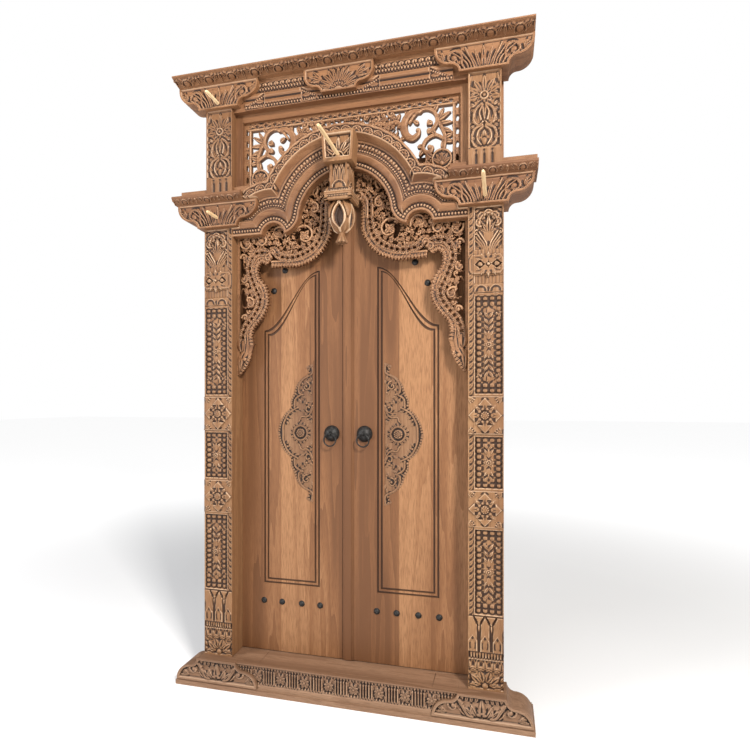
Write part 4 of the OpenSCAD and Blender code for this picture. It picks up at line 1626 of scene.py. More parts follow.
@dataclass
class ArchBoards:
    """The scalloped arch board: rows of beads, plain mouldings and an outer band of fans."""

    finishes: Finishes
    step: float = 2.3
    radius: float = 196.0
    rise: float = 6.0
    lobe: float = 82.0
    lobe_rise: float = 35.0
    side_radius: float = 52.0
    side_in: float = 188.0
    side_drop: float = 45.0
    drop: float = 37.0
    band: float = 160.0
    profile: Line = ((0, -4), (2, -0.5), (8, 0), (10, -4), (26, -4), (28.5, 1), (33, 7), (41, 12), (50, 14),
                     (55, 12), (57, 5), (58.5, 9), (61, 10), (62, 5), (74, 5), (76, 6.5), (97, 8), (99, 13),
                     (104, 13), (110, 22), (118, 36), (123, 44), (126, 45), (128, 38), (150, 38), (152, 44),
                     (158, 45), (160, 43))

    def __post_init__(self) -> None:
        """Works out the centres from the posts and the brackets."""
        self.half = place_of("arch_lintel")[1]
        self.seat = place_of("right_lower_bracket")[4]
        self.face = place_of("right_upper_post")[2]
        self.centre = self.seat + self.rise
        self.side = (self.half - self.side_in, self.seat - self.side_drop)
        self.lobe_at = (math.sqrt((self.radius + self.lobe) ** 2 - self.lobe_rise ** 2),
                        self.centre + self.lobe_rise)
        self.low = self.seat - self.drop

    @staticmethod
    def meeting(a: Point, ra: float, b: Point, rb: float, way: float) -> Point:
        """Where two circles cross.

        Args:
            a: first centre.
            ra: first radius.
            b: second centre.
            rb: second radius.
            way: 1 or -1 for one crossing or the other.

        Returns:
            The crossing.
        """
        dx, dy = b[0] - a[0], b[1] - a[1]
        gap = math.hypot(dx, dy)
        along = (ra * ra - rb * rb + gap * gap) / (2 * gap)
        off = way * math.sqrt(max(ra * ra - along * along, 0))
        return (a[0] + (along * dx - off * dy) / gap, a[1] + (along * dy + off * dx) / gap)

    def line(self, d: float) -> list[Point]:
        """The right half of the outline at a distance outside the opening, from the crown down.

        Args:
            d: the distance.

        Returns:
            Its points in X and Z.
        """
        main, side = (0.0, self.centre), self.side
        if d < 50:
            bend = math.degrees(math.asin(self.lobe_rise / (self.radius + self.lobe)))
            cusp = self.meeting(self.lobe_at, self.lobe - d, side, self.side_radius + d, -1)
            turn = math.degrees(math.atan2(cusp[1] - self.lobe_at[1], cusp[0] - self.lobe_at[0])) % 360
            pts = arc(*main, self.radius + d, 90, bend, 26)
            pts += arc(*self.lobe_at, self.lobe - d, 180 + bend, turn, 12)[1:]
        else:
            cusp = self.meeting(main, self.radius + d, side, self.side_radius + d, 1)
            turn = math.degrees(math.atan2(cusp[1] - main[1], cusp[0] - main[0]))
            pts = arc(*main, self.radius + d, 90, turn, 26)
        start = math.degrees(math.atan2(cusp[1] - side[1], cusp[0] - side[0])) % 360
        end = math.degrees(math.asin(min(1, (self.low + d - side[1]) / (self.side_radius + d))))
        pts += arc(*side, self.side_radius + d, start, end, 18)[1:]
        return pts + [(self.half - 4, self.low + d)]

    def distance(self, x: Array, z: Array) -> Array:
        """Distance outside the arch's opening.

        Args:
            x: X.
            z: Z.

        Returns:
            The distance, negative in the opening.
        """
        u = np.abs(x)
        d = np.minimum(np.hypot(u, z - self.centre) - self.radius,
                       np.hypot(u - self.side[0], z - self.side[1]) - self.side_radius)
        d = np.where((u > self.side[0]) | (z < self.low), np.minimum(d, z - self.low), d)
        lu, lv = u - self.lobe_at[0], z - self.lobe_at[1]
        cusp = self.meeting(self.lobe_at, self.lobe, self.side, self.side_radius, -1)
        first = math.degrees(math.asin(self.lobe_rise / (self.radius + self.lobe))) + 180
        last = math.degrees(math.atan2(cusp[1] - self.lobe_at[1], cusp[0] - self.lobe_at[0])) % 360
        turn = np.degrees(np.arctan2(lv, lu)) % 360
        wedge = (turn > first) & (turn < last)
        return np.where(wedge, np.minimum(d, self.lobe - np.hypot(lu, lv)), d)

    def stations(self, d: float, pitch: float) -> Iterable[tuple[float, float, float]]:
        """Evenly spaced places on both halves of an offset line.

        Args:
            d: distance outside the opening.
            pitch: spacing.

        Returns:
            (X, Z, outward direction in degrees).
        """
        for x, z, turn in spaced(self.line(d), pitch):
            yield x, z, turn + 90
            yield -x, z, 180 - (turn + 90)

    def build(self) -> None:
        """Makes the arch board."""
        x0, x1, y0, y1, z0, z1 = place_of("arch_lintel")
        r = Relief(x0, x1, z0, z1 + 2, self.step)
        d = self.distance(r.u, r.v)
        heights = np.array(self.profile, float)
        r.height = np.interp(d, heights[:, 0], heights[:, 1])
        r.ground = 37.0
        for x, z, _ in self.stations(18, 12.5):
            r.bead(x, z, 5.6, 7, base=-3.5)
        for x, z, _ in self.stations(68, 11.0):
            r.bead(x, z, 4.6, 5.5, base=5)
        for k, (x, z, turn) in enumerate(self.stations(86, 15.5)):
            r.bead(x, z, 6.2, 6.5, 1.15, turn + 55, base=6.5)
            r.petal(x, z, turn + (140 if k % 4 < 2 else -40), 12, 7, 5.5, 0.7, Cut.ROUND, 6)
        for x, z, turn in self.stations(127, 44):
            r.fan(x, z, 3, 22, turn - 68, turn + 68, 6, 8, 1.15)
            r.stem(arc(x, z, 21, turn - 95, turn + 95, 12), 2.6, 8)
        for x, z, _ in self.stations(143, 22):
            r.bead(x, z, 3.6, 6, base=38)
        r.level(d > 151.5, np.minimum(r.height, 45))
        bracket, ledge_x = place_of("right_lower_bracket"), place_of("right_ledge")[0]
        half, middle = (bracket[1] - bracket[0]) / 2, (bracket[0] + bracket[1]) / 2
        hid = BracketBoards.ogee(np.abs(r.u) - middle, r.v - bracket[4], half, bracket[5] - bracket[4], 62,
                                 32)
        hid = np.maximum(hid, np.minimum(r.v - bracket[5] + 1, np.abs(r.u) - ledge_x + 1))
        r.level(hid > -1, np.minimum(r.height, -1))
        ledge = np.maximum(ledge_x - np.abs(r.u), bracket[5] - r.v)
        r.trim(np.minimum(np.minimum(d, self.band - d), ledge))
        bm = carve(r, Stand((0, self.face, 0)), lambda u, v: y1 - self.face)
        finished("arch_carved", bm, self.finishes.across, ["arch_lintel"])


@dataclass
class KeyAndDrop:
    """The key block and the drop under it: palmettes, a stepped collar and a lotus bud with a tassel."""

    finishes: Finishes
    step: float = 1.7
    key_half_low: float = 58.0
    drop_side: float = 82.0
    drop_height: float = 97.0
    collar_height: float = 50.0
    tassel: float = 40.0

    def key(self) -> None:
        """Makes the key block: a palmette between raised rims."""
        x0, x1, y0, y1, z0, z1 = place_of("key_block")
        h = z1 - z0
        r = Relief(x0, x1, 0, h, self.step)
        shape = [(-self.key_half_low, 0), (self.key_half_low, 0), (x1, h), (x0, h)]
        edge = polygon_distance(r.u, r.v, shape)
        r.trim(edge)
        inner = np.minimum(edge, r.v - 6)
        r.height -= 17 * np.clip((inner - 11) / 3, 0, 1)
        r.ground = -17.0
        for a in (90, 62, 118, 38, 142):
            c, s = heading(a)
            r.petal(20 * c, 18 + 18 * s, a, 66 if a == 90 else 56, 22, 12)
        for s in (-1, 1):
            for k in range(3):
                r.petal(s * 40, 20 + 24 * k, 90 - s * 16, 30, 13, 10)
        r.bead(0, 18, 16, 13)
        r.stem(arc(0, 18, 22, 0, 180, 14), 3.2, 11)
        r.level(edge < 11, 0.0)
        bm = carve(r, Stand((0, y0, z0)), lambda u, v: y1 - y0)
        finished("key_block_carved", bm, self.finishes.post, ["key_block"])

    def sides(self, r: Relief, z0: float, size: float, middle_y: float) -> bmesh.types.BMesh:
        """Puts the same relief on the four sides of a square block.

        Args:
            r: the relief, its foot at v = 0.
            z0: Z of the foot.
            size: the block's side.
            middle_y: Y of its middle.

        Returns:
            One mesh with the four sides.
        """
        whole = bmesh.new()
        for along, out in (((1, 0, 0), (0, -1, 0)), ((0, 1, 0), (1, 0, 0)), ((-1, 0, 0), (0, 1, 0)),
                           ((0, -1, 0), (-1, 0, 0))):
            at = (out[0] * size / 2, middle_y + out[1] * size / 2, z0)
            side = carve(r, Stand(at, along=along, out=out), lambda u, v: size / 2 - 1 if abs(u) < 2 else 14)
            merge(whole, side)
        return whole

    def bud(self, whole: bmesh.types.BMesh, z0: float, z1: float, y: float) -> None:
        """Adds the lotus bud and tassel, turned and then carved.

        Args:
            whole: the mesh it is added to.
            z0: foot of the tassel.
            z1: head of the bud.
            y: Y of the axis.
        """
        tassel = self.tassel
        h = z1 - z0 - tassel
        shape = smooth([(0.1, z0), (21, z0 + 1), (20, z0 + 8), (13, z0 + tassel - 10), (13, z0 + tassel),
                        (27, z0 + tassel + 0.1 * h), (43, z0 + tassel + 0.32 * h),
                        (47, z0 + tassel + 0.6 * h), (38, z0 + tassel + 0.9 * h), (30, z1), (0.1, z1)], 9)
        turned = bmesh.new()
        cut = turned.verts.layers.float.new("cut")
        line = [turned.verts.new((a * MM, y * MM, b * MM)) for a, b in shape]
        edges = [turned.edges.new(pair) for pair in zip(line, line[1:])]
        bmesh.ops.spin(turned, geom=line + edges, cent=(0, y * MM, 0), axis=(0, 0, 1), angle=2 * math.pi,
                       steps=120, use_merge=True)
        bmesh.ops.remove_doubles(turned, verts=turned.verts, dist=1e-6)
        base = z0 + tassel
        for vert in turned.verts:
            x, dy, z = vert.co.x / MM, vert.co.y / MM - y, vert.co.z / MM
            rad, turn = math.hypot(x, dy), math.degrees(math.atan2(dy, x))
            near = min(abs((turn - a + 180) % 360 - 180) for a in (-90, 0, 90, 180))
            t = (z - base) / h
            push = 0.0
            if 0 < t < 1:
                wide = 27 * max(0.0, math.sin(math.pi * min(1, max(0, (t - 0.12) / 0.76)) ** 0.8)) ** 0.7
                gap = wide - near
                if gap > 0:
                    deep = min(1.0, gap / 4)
                    push = -13 * deep + 3.0 * deep * math.cos(2 * math.pi * (z - base) / 8.5)
                elif gap > -12:
                    push = 6.0 * math.cos(math.radians(90 * (gap + 5) / 8)) if gap > -13 else 0
                push += 2.0 * math.cos(math.radians(8 * turn)) * (1 - t) * (0 < t < 0.4)
            elif t <= 0:
                push = 3.2 * math.cos(math.radians(7 * turn)) * min(1, (base - z) / tassel)
            scale = max(0.05, (rad + push) / max(rad, 1e-6)) if rad > 3 else 1.0
            vert.co.x, vert.co.y = x * scale * MM, (dy * scale + y) * MM
            # The push also goes into the cut layer: painted shade in the bud's carved-in grooves, painted
            # highlight on its raised ribs.
            vert[cut] = max(-1, min(1, push / 6))
        for face in turned.faces:
            face.smooth = True
        bmesh.ops.recalc_face_normals(turned, faces=turned.faces)
        merge(whole, turned)

    def curls(self, whole: bmesh.types.BMesh, z: float, y: float) -> None:
        """Adds four leaf tips that bend out and down round the bud.

        Args:
            whole: the mesh they are added to.
            z: Z of their roots.
            y: Y of the axis.
        """
        for k in range(4):
            tip = bmesh.new()
            bmesh.ops.create_grid(tip, x_segments=8, y_segments=16, size=1.0)
            turn = math.radians(45 + 90 * k)
            for vert in tip.verts:
                a, b = vert.co.x, (vert.co.y + 1) / 2
                half = 15 * math.sin(math.pi * min(0.999, 0.25 + 0.75 * b)) ** 0.7
                out = 33 + 24 * math.sin(math.pi * 0.62 * b) - 3.0 * a * a
                side = a * half
                vert.co = (
                    (out * math.cos(turn) - side * math.sin(turn)) * MM,
                    (y + out * math.sin(turn) + side * math.cos(turn)) * MM,
                    (z - 66 * b**1.15 + 2) * MM,
                )
            for face in tip.faces:
                face.smooth = True
            bmesh.ops.recalc_face_normals(tip, faces=tip.faces)
            bmesh.ops.solidify(tip, geom=tip.faces[:], thickness=3.2 * MM)
            bmesh.ops.recalc_face_normals(tip, faces=tip.faces)
            merge(whole, tip)

    def build(self) -> None:
        """Makes the key block and the drop."""
        self.key()
        x0, x1, y0, y1, z0, z1 = place_of("pendant")
        y = (y0 + y1) / 2
        collar, square = x1 - x0, self.drop_side
        foot = place_of("key_block")[4] - self.drop_height
        r = Relief(-square / 2, square / 2, 0, self.drop_height, self.step)
        r.ground = -6.0
        r.height -= 6
        for u, size in ((-27, 62), (27, 62), (-14, 74), (14, 74), (0, 86)):
            r.petal(u, 8, 90 - u * 0.3, size, 24, 7)
        for u in (-34, -11, 11, 34):
            r.petal(u, self.drop_height, -90, 24, 15, 6)
        r.bead(0, 4, 22, 8)
        r.stem(arc(0, 4, 27, 0, 180, 14), 3, 7.5)
        whole = self.sides(r, foot, square, y)
        h = self.collar_height
        c = Relief(-collar / 2, collar / 2, 0, h, self.step)
        c.ground = -3.0
        c.height = np.interp(c.v, (0, 3, 10, 11, 20, 21, 24, 25, 34, 35, 48, 50),
                             (-4, 0, 0, -3, -3, 1, 1, 0, 1, -9, -13, -15))
        for k in range(17):
            u = -collar / 2 + collar * (k + 0.5) / 17
            c.bead(u, 15.5, 2.8, 4)
            c.stem([(u, 37), (u, 44)], 2.2, 5, cut=Cut.FLAT, base=-11)
        merge(whole, self.sides(c, foot - h, collar, y))
        self.bud(whole, z0, foot - h + 2, y)
        self.curls(whole, foot - h, y)
        finished("drop_carved", whole, self.finishes.post, ["pendant"])


@dataclass
class Fretwork:
    """Pierced leaf carving: shared cuts for the spandrels and the transom."""

    finishes: Finishes
    seed: int = 11
    ground: float = 2.0

    @staticmethod
    def beside(line: Line, gap: float) -> list[Point]:
        """A line beside another.

        Args:
            line: the line.
            gap: distance to its left.

        Returns:
            The shifted line.
        """
        p = np.array(line, float)
        d = np.gradient(p, axis=0)
        n = np.stack([-d[:, 1], d[:, 0]], 1) / np.maximum(np.hypot(*d.T), 1e-9)[:, None]
        return [tuple(q) for q in p + gap * n]

    def slotted(self, r: Relief, line: Line, half: float, rise: float, pitch: float) -> None:
        """A border of two ribs with slots between them.

        Args:
            r: the board.
            line: its middle line.
            half: from the middle to a rib.
            rise: height of the ribs.
            pitch: spacing of the slots.
        """
        for side in (-1, 1):
            r.stem(self.beside(line, side * half), 5.2, rise, cut=Cut.RIBS)
        for u, v, turn in spaced(line, pitch):
            a = math.radians(turn)
            r.stem([(u - half * math.sin(a), v + half * math.cos(a)),
                    (u + half * math.sin(a), v - half * math.cos(a))], 5.0, rise * 0.55)

    def foliage(self, r: Relief, room: Array, pitch: float, size: float, rise: float) -> None:
        """Fills a space with small curled leaves and stems that touch each other.

        Args:
            r: the board.
            room: positive where leaves may grow.
            pitch: spacing of the leaves.
            size: their length.
            rise: their height.
        """
        rng = np.random.default_rng(self.seed)
        u0, u1, v0, v1 = r.limits
        row = 0
        v = v0
        while v < v1:
            u = u0 + (row % 2) * pitch / 2
            while u < u1:
                pu, pv = u + rng.uniform(-0.22, 0.22) * pitch, v + rng.uniform(-0.22, 0.22) * pitch
                col = int(round((pu - u0) / (u1 - u0) * (r.count_u - 1)))
                lin = int(round((pv - v0) / (v1 - v0) * (r.count_v - 1)))
                if 0 <= col < r.count_u and 0 <= lin < r.count_v and room[lin, col] > 0:
                    turn = rng.uniform(0, 360)
                    if rng.random() < 0.36:
                        r.scroll(pu, pv, size * 0.6, turn, 0.85 * rng.choice((-1, 1)), size * 0.19, rise,
                                 size * 0.24)
                    else:
                        r.sprig(pu, pv, turn, size, rise)
                    a = math.radians(turn + 180)
                    bend = math.radians(turn + 180 + rng.uniform(-60, 60))
                    r.stem(smooth([(pu, pv), (pu + 0.5 * pitch * math.cos(a),
                                              pv + 0.5 * pitch * math.sin(a)),
                                   (pu + 0.95 * pitch * math.cos(bend), pv + 0.95 * pitch * math.sin(bend))],
                                  3), 2.6, rise * 0.6, 2.0)
                u += pitch
            v += pitch * 0.86
            row += 1


@dataclass
class Spandrels(Fretwork):
    """The two pierced boards under the arch, with slotted borders and a fringe of drops."""

    step: float = 2.2
    bow: Line = ((-440, 96), (-424, 76), (-424, 17), (-423, -44), (-391, -103), (-348, -141), (-289, -162),
                 (-233, -162), (-165, -160))
    hook: Line = ((-150, -151), (-115, -139), (-96, -161), (-95, -199), (-108, -224), (-122, -233))
    flank: Line = ((-123, -236), (-141, -281), (-138, -334), (-111, -382), (-76, -420), (-66, -459),
                   (-70, -499))
    tip: Line = ((-55, -549), (-42, -582), (-12, -619), (0, -624))
    border_bow: Line = ((-452, 112), (-424, 108), (-402, 78), (-399, 10), (-387, -56), (-352, -100),
                        (-302, -126), (-248, -134), (-203, -124), (-178, -98))
    border_hook: Line = ((-166, -118), (-130, -104), (-92, -108), (-68, -136), (-62, -176), (-76, -222),
                         (-92, -262))
    border_flank: Line = ((-92, -262), (-110, -300), (-104, -338), (-76, -380), (-44, -420), (-30, -456),
                          (-28, -490))

    def build(self) -> None:
        """Makes both boards."""
        arch = ArchBoards(self.finishes)
        x0, x1, y0, y1, z0, z1 = place_of("right_spandrel_fretwork")
        post, seat = x1, arch.seat
        r = Relief(x0 - post, 6, z0 - seat - 4, z1 - seat, self.step, pierced=True)
        edge_line = smooth(self.bow, 4) + smooth(self.hook, 4) + smooth(self.flank, 4) + smooth(self.tip, 3)
        outline = [(-post, 300), (-post, 106)] + edge_line + [(8, -624), (8, 300)]
        edge = polygon_distance(r.u, r.v, outline)
        opening = arch.distance(r.u + post, r.v + seat)
        r.ground = self.ground
        rise = 8.5
        behind = opening > 26
        room = np.where((edge > 44) & ~behind, 1.0, -1.0)
        self.foliage(r, room, 25, 19, 6.0)
        for cu, cv, cr, start, turns in ((-316, -44, 47, 40, 1.15), (-196, -26, 36, 200, -1.1),
                                         (-118, -54, 26, 120, 1.0), (-356, 66, 26, 80, 1.0),
                                         (-352, 148, 26, 240, -1.0), (-48, -60, 30, 20, -1.0),
                                         (-64, -318, 26, 60, 1.0), (-34, -214, 20, 120, 1.0),
                                         (-36, -120, 18, 0, 1.0), (-40, -380, 15, 0, 1.0),
                                         (-410, 178, 22, 0, 1.0)):
            if cr > 40:
                gap = np.hypot(r.u - cu, r.v - cv)
                r.inside = np.where(gap < cr - 2, -FAR, r.inside)
                r.level(gap < cr - 2, 0)
                for k in range(7):
                    a = start + 40 * k
                    c, s = heading(a)
                    r.sprig(cu + 0.93 * cr * c, cv + 0.93 * cr * s, a + 150, 19, 6.5)
            r.scroll(cu, cv, cr, start, turns, 4.6, rise - 1)
            for k in range(4):
                r.petal(cu, cv, start + 90 * k, cr * 0.55, cr * 0.4, rise, 0.7)
            r.bead(cu, cv, cr * 0.16 + 3, rise)
        r.stem([(-7, 20), (-7, -480)], 7.5, 4, 6, Cut.FLAT)
        r.stem([(0, -28), (-150, -28)], 9, 4, cut=Cut.FLAT)
        for line in (self.border_bow, self.border_hook, self.border_flank):
            self.slotted(r, smooth(line, 6), 11.5, rise, 24)
        r.scroll(-448, 96, 20, 60, -0.9, 6, rise, 6)
        r.scroll(-172, -108, 20, -60, 0.9, 6, rise, 6)
        r.scroll(-150, -128, 16, 100, -0.9, 5, rise, 5)
        for line in (self.bow, self.hook, self.flank):
            curve = smooth(line, 6)
            for u, v, turn in spaced(curve, 13.5):
                out = turn - 90
                c, s = heading(out)
                r.petal(u - 12 * c, v - 12 * s, out + 12, 25, 14, 6.5, 0.5)
                r.bead(u - 1 * c, v - 1 * s, 5.2, 6.0)
            r.stem(self.beside(curve, 15), 4.5, 5)
        r.petal(-20, -470, -93, 62, 46, 9, 0.7)
        r.petal(-46, -480, -84, 66, 30, 7.5, 0.7)
        for k in range(7):
            r.petal(-52 + 7 * k, -548 - 11 * k, -150, 20, 13, 6.5, 0.5)
        r.petal(-44, -520, -62, 66, 34, 8)
        r.petal(-18, -540, -88, 82, 26, 8, 0.5)
        r.bead(-38, -560, 9, 9)
        tip = (r.v < -470) & (edge > -8)
        r.inside = np.where((behind & (edge > 2)) | tip, 3.0, r.inside)
        r.height = np.maximum(r.height, np.where(tip, r.ground, -FAR))
        r.trim(np.minimum(edge + 12, 30 - opening))
        r.trim(-r.u)
        for side, mirrored in SIDES:
            bm = carve(r, Stand((post, y0 + 8, seat), mirrored=mirrored), lambda u, v: y1 - y0 - 8)
            finished(f"{side}_spandrel_carved", bm, self.finishes.fret,
                     [f"{side}_spandrel_fretwork"])


@dataclass
class Transom(Fretwork):
    """The pierced board over the arch: big leaf scrolls between slotted borders."""

    step: float = 2.3
    strip: float = 28.0

    def scrolls(self, r: Relief, s: int, z: float) -> None:
        """Carves one side's big scrolls.

        Args:
            r: the board.
            s: 1 on the right, -1 on the left.
            z: Z of the board's foot.
        """

        def at(line: Line) -> list[Point]:
            """A curve given in X and Z, on this side of the board."""
            return smooth([(s * a, b - z) for a, b in line], 7)

        def turn(angle: float) -> float:
            """A direction given for the right side, on this side."""
            return angle if s > 0 else 180 - angle

        big = ((300, 2303), (294, 2284), (272, 2273), (248, 2290), (238, 2325), (250, 2360), (278, 2380),
               (304, 2378))
        over = ((262, 2336), (292, 2374), (330, 2386), (362, 2368), (374, 2332), (358, 2302), (340, 2293))
        vine = ((372, 2334), (392, 2302), (404, 2262), (398, 2212))
        low = ((402, 2256), (366, 2276), (332, 2262), (316, 2234), (326, 2214), (346, 2212), (352, 2228))
        out = ((240, 2320), (206, 2350), (168, 2340), (140, 2352), (120, 2348))
        curve = at(big)
        turn_at = len(curve) // 2
        r.stem(curve[:turn_at + 1], 7, 11, 16, Cut.VEINED)
        r.stem(curve[turn_at:], 16, 11, 8, Cut.VEINED)
        r.stem(at(over), 5, 9, 9, Cut.VEINED)
        r.stem(at(vine), 6.5, 8, cut=Cut.VEINED)
        r.stem(at(low), 6, 9, 8.5, Cut.VEINED)
        r.stem(at(out), 7, 8, 5, Cut.VEINED)
        for a, b, q in ((297, 2302, 9), (341, 2297, 9), (343, 2230, 9)):
            r.bead(s * a, b - z, q, 11)
        for a, b, way, size in ((372, 2330, 62, 62), (376, 2334, 30, 62), (384, 2322, 0, 52),
                                (392, 2300, -24, 46), (402, 2262, 20, 42), (404, 2250, -10, 40),
                                (300, 2376, 40, 34), (256, 2360, 110, 34), (240, 2330, 165, 34),
                                (330, 2384, 70, 30), (360, 2370, 60, 40), (250, 2290, 215, 34),
                                (206, 2350, 120, 32), (206, 2350, 60, 36), (168, 2340, 250, 26),
                                (320, 2240, 190, 30), (318, 2226, 240, 36), (366, 2276, 120, 26),
                                (346, 2340, 240, 26), (300, 2330, 150, 30), (356, 2330, 200, 26)):
            r.petal(s * a, b - z, turn(way), size, 17, 8, 0.65)
        r.scroll(s * 188, 2384 - z, 20, turn(90), 1.0 * s, 5, 8, 6)
        r.scroll(s * 124, 2366 - z, 16, turn(60), -0.9 * s, 4.4, 8, 5)
        r.bead(s * 392, 2178 - z, 33, 7)
        r.stem(arc(s * 392, 2178 - z, 37, 0, 360, 30), 4.5, 9)
        r.fan(s * 392, 2158 - z, 8, 46, 32, 148, 5, 6, 1.2, base=r.ground + 4)
        r.bead(s * 392, 2160 - z, 9, 7, base=r.ground + 5)
        r.petal(s * 352, 2190 - z, turn(140), 42, 20, 8)
        r.petal(s * 398, 2214 - z, turn(95), 40, 20, 8)

    def build(self) -> None:
        """Makes the board."""
        x0, x1, y0, y1, z0, z1 = place_of("transom_fretwork")
        arch = ArchBoards(self.finishes)
        r = Relief(x0, x1, 0, z1 - z0, self.step, pierced=True)
        h = z1 - z0
        r.ground = self.ground
        opening = arch.distance(r.u, r.v + z0)
        free = np.minimum(np.minimum(x1 - self.strip - np.abs(r.u), h - self.strip - r.v), opening - 158)
        near_arch = np.where((free > 0) & (opening < 262) & (np.abs(r.u) < 225), 1.0, -1.0)
        self.foliage(r, near_arch, 24, 19, 7.0)
        lower = np.where((free > 0) & (np.abs(r.u) > 330) & (r.v < 2206 - z0), 1.0, -1.0)
        self.foliage(r, lower, 30, 20, 6.0)
        for s in (-1, 1):
            self.scrolls(r, s, z0)
            edge = s * (x1 - self.strip)
            r.stem([(edge, 0), (edge, h - self.strip)], 4.5, 8)
            mid = s * (x1 - self.strip / 2)
            r.stem([(mid, 0), (mid, h)], 11, 4, cut=Cut.FLAT)
            for k in range(int(h // 26)):
                v = 14 + 26 * k
                if k % 2:
                    r.hole(mid, v, 6.5, 13.5)
                else:
                    r.sprig(mid - s * 8, v - 3, 90 + s * 20, 20, 6, r.ground + 2)
            r.stem([(s * (x1 - 3), 0), (s * (x1 - 3), h)], 4, 4, cut=Cut.FLAT)
        top = h - self.strip / 2
        r.stem([(x0, top), (x1, top)], 11, 3.5, cut=Cut.FLAT)
        for k, (u, v, _) in enumerate(spaced([(x0 + self.strip, top), (x1 - self.strip, top)], 21)):
            if k % 2:
                r.hole(u, v, 9, 4.6)
            else:
                r.bead(u, v, 6, 7, base=r.ground + 2)
                for a in (25, -25, 155, 205):
                    r.petal(u, v, a, 17, 8, 6, 0.7, base=r.ground + 2)
        r.stem([(x0 + 20, h - self.strip), (x1 - 20, h - self.strip)], 4.5, 8)
        r.stem([(x0, h - 3), (x1, h - 3)], 4, 4, cut=Cut.FLAT)
        rim = np.abs(opening - 150) < 14
        r.inside = np.where(rim | (opening < 150), 3.0, r.inside)
        r.height = np.maximum(r.height, np.where(rim, 3.0, -FAR))
        r.trim(opening - 33)
        bm = carve(r, Stand((0, y0 + 8, z0)), lambda u, v: y1 - y0 - 8)
        finished("transom_carved", bm, self.finishes.fret, ["transom_fretwork"])


@dataclass
class BeamFace:
    """The top beam's face between the brackets: bead rows, plain mouldings and a row of curls."""

    finishes: Finishes
    step: float = 2.3

    def build(self) -> None:
        """Makes the face as one long board in front of the beam."""
        x0, x1, y0, y1, z0, z1 = place_of("top_beam")
        inner = place_of("right_upper_bracket")[0]
        reach = inner + 70
        h = z1 - z0
        r = Relief(-reach, reach, 0, h, self.step)
        r.height = np.interp(
            r.v,
            (0, 2, 4, 17, 19, 24, 34, 42, 44, 50, 60, 68, 70, 72, 85, 87, 89, 104, 106, 121),
            (-2, 1, -4, -4, 2, 4, 2, -4, 1, 6, 6, -2, 2, -3, -3, 1, -4, -4, 1, 2)
        )
        r.ground = -4.0
        r.row([(-reach, 10.5), (reach, 10.5)], 13, 5.6, 8)
        r.row([(-reach, 78.5), (reach, 78.5)], 13, 5.6, 8, -3)
        for u, v, _ in spaced([(-reach, 96.5), (reach, 96.5)], 27):
            r.scroll(u, v, 8.5, 200, -0.9, 3.4, 8, 3.6)
            r.petal(u + 9, v - 4, 40, 17, 9, 8)
        c0, c1 = place_of("center_cartouche")[:2]
        for edge, way in ((-inner, 1), (inner, -1), (c0, -1), (c1, 1)):
            near = edge + way * 20
            far = edge - way * 52
            wing = polygon_distance(r.u, r.v, [(near, 4), (near, 62), (far, 22), (far, 10)] if way > 0 else
                                    [(far, 10), (far, 22), (near, 62), (near, 4)])
            r.level(wing > 0, -4)
            r.level((wing > 0) & (wing < 2.5), 1.5)
            for a, b in (((near, 12), (far, 14)), ((near, 52), (far, 18))):
                r.row([a, b], 10.5, 4.4, 6, -3)
            r.petal(near - way * 4, 31, 180 * (way > 0), 46, 16, 5, 0.7)
        bm = carve(r, Stand((0, y0 - 6, z0)), lambda u, v: 8.0)
        finished("beam_face_carved", bm, self.finishes.across)


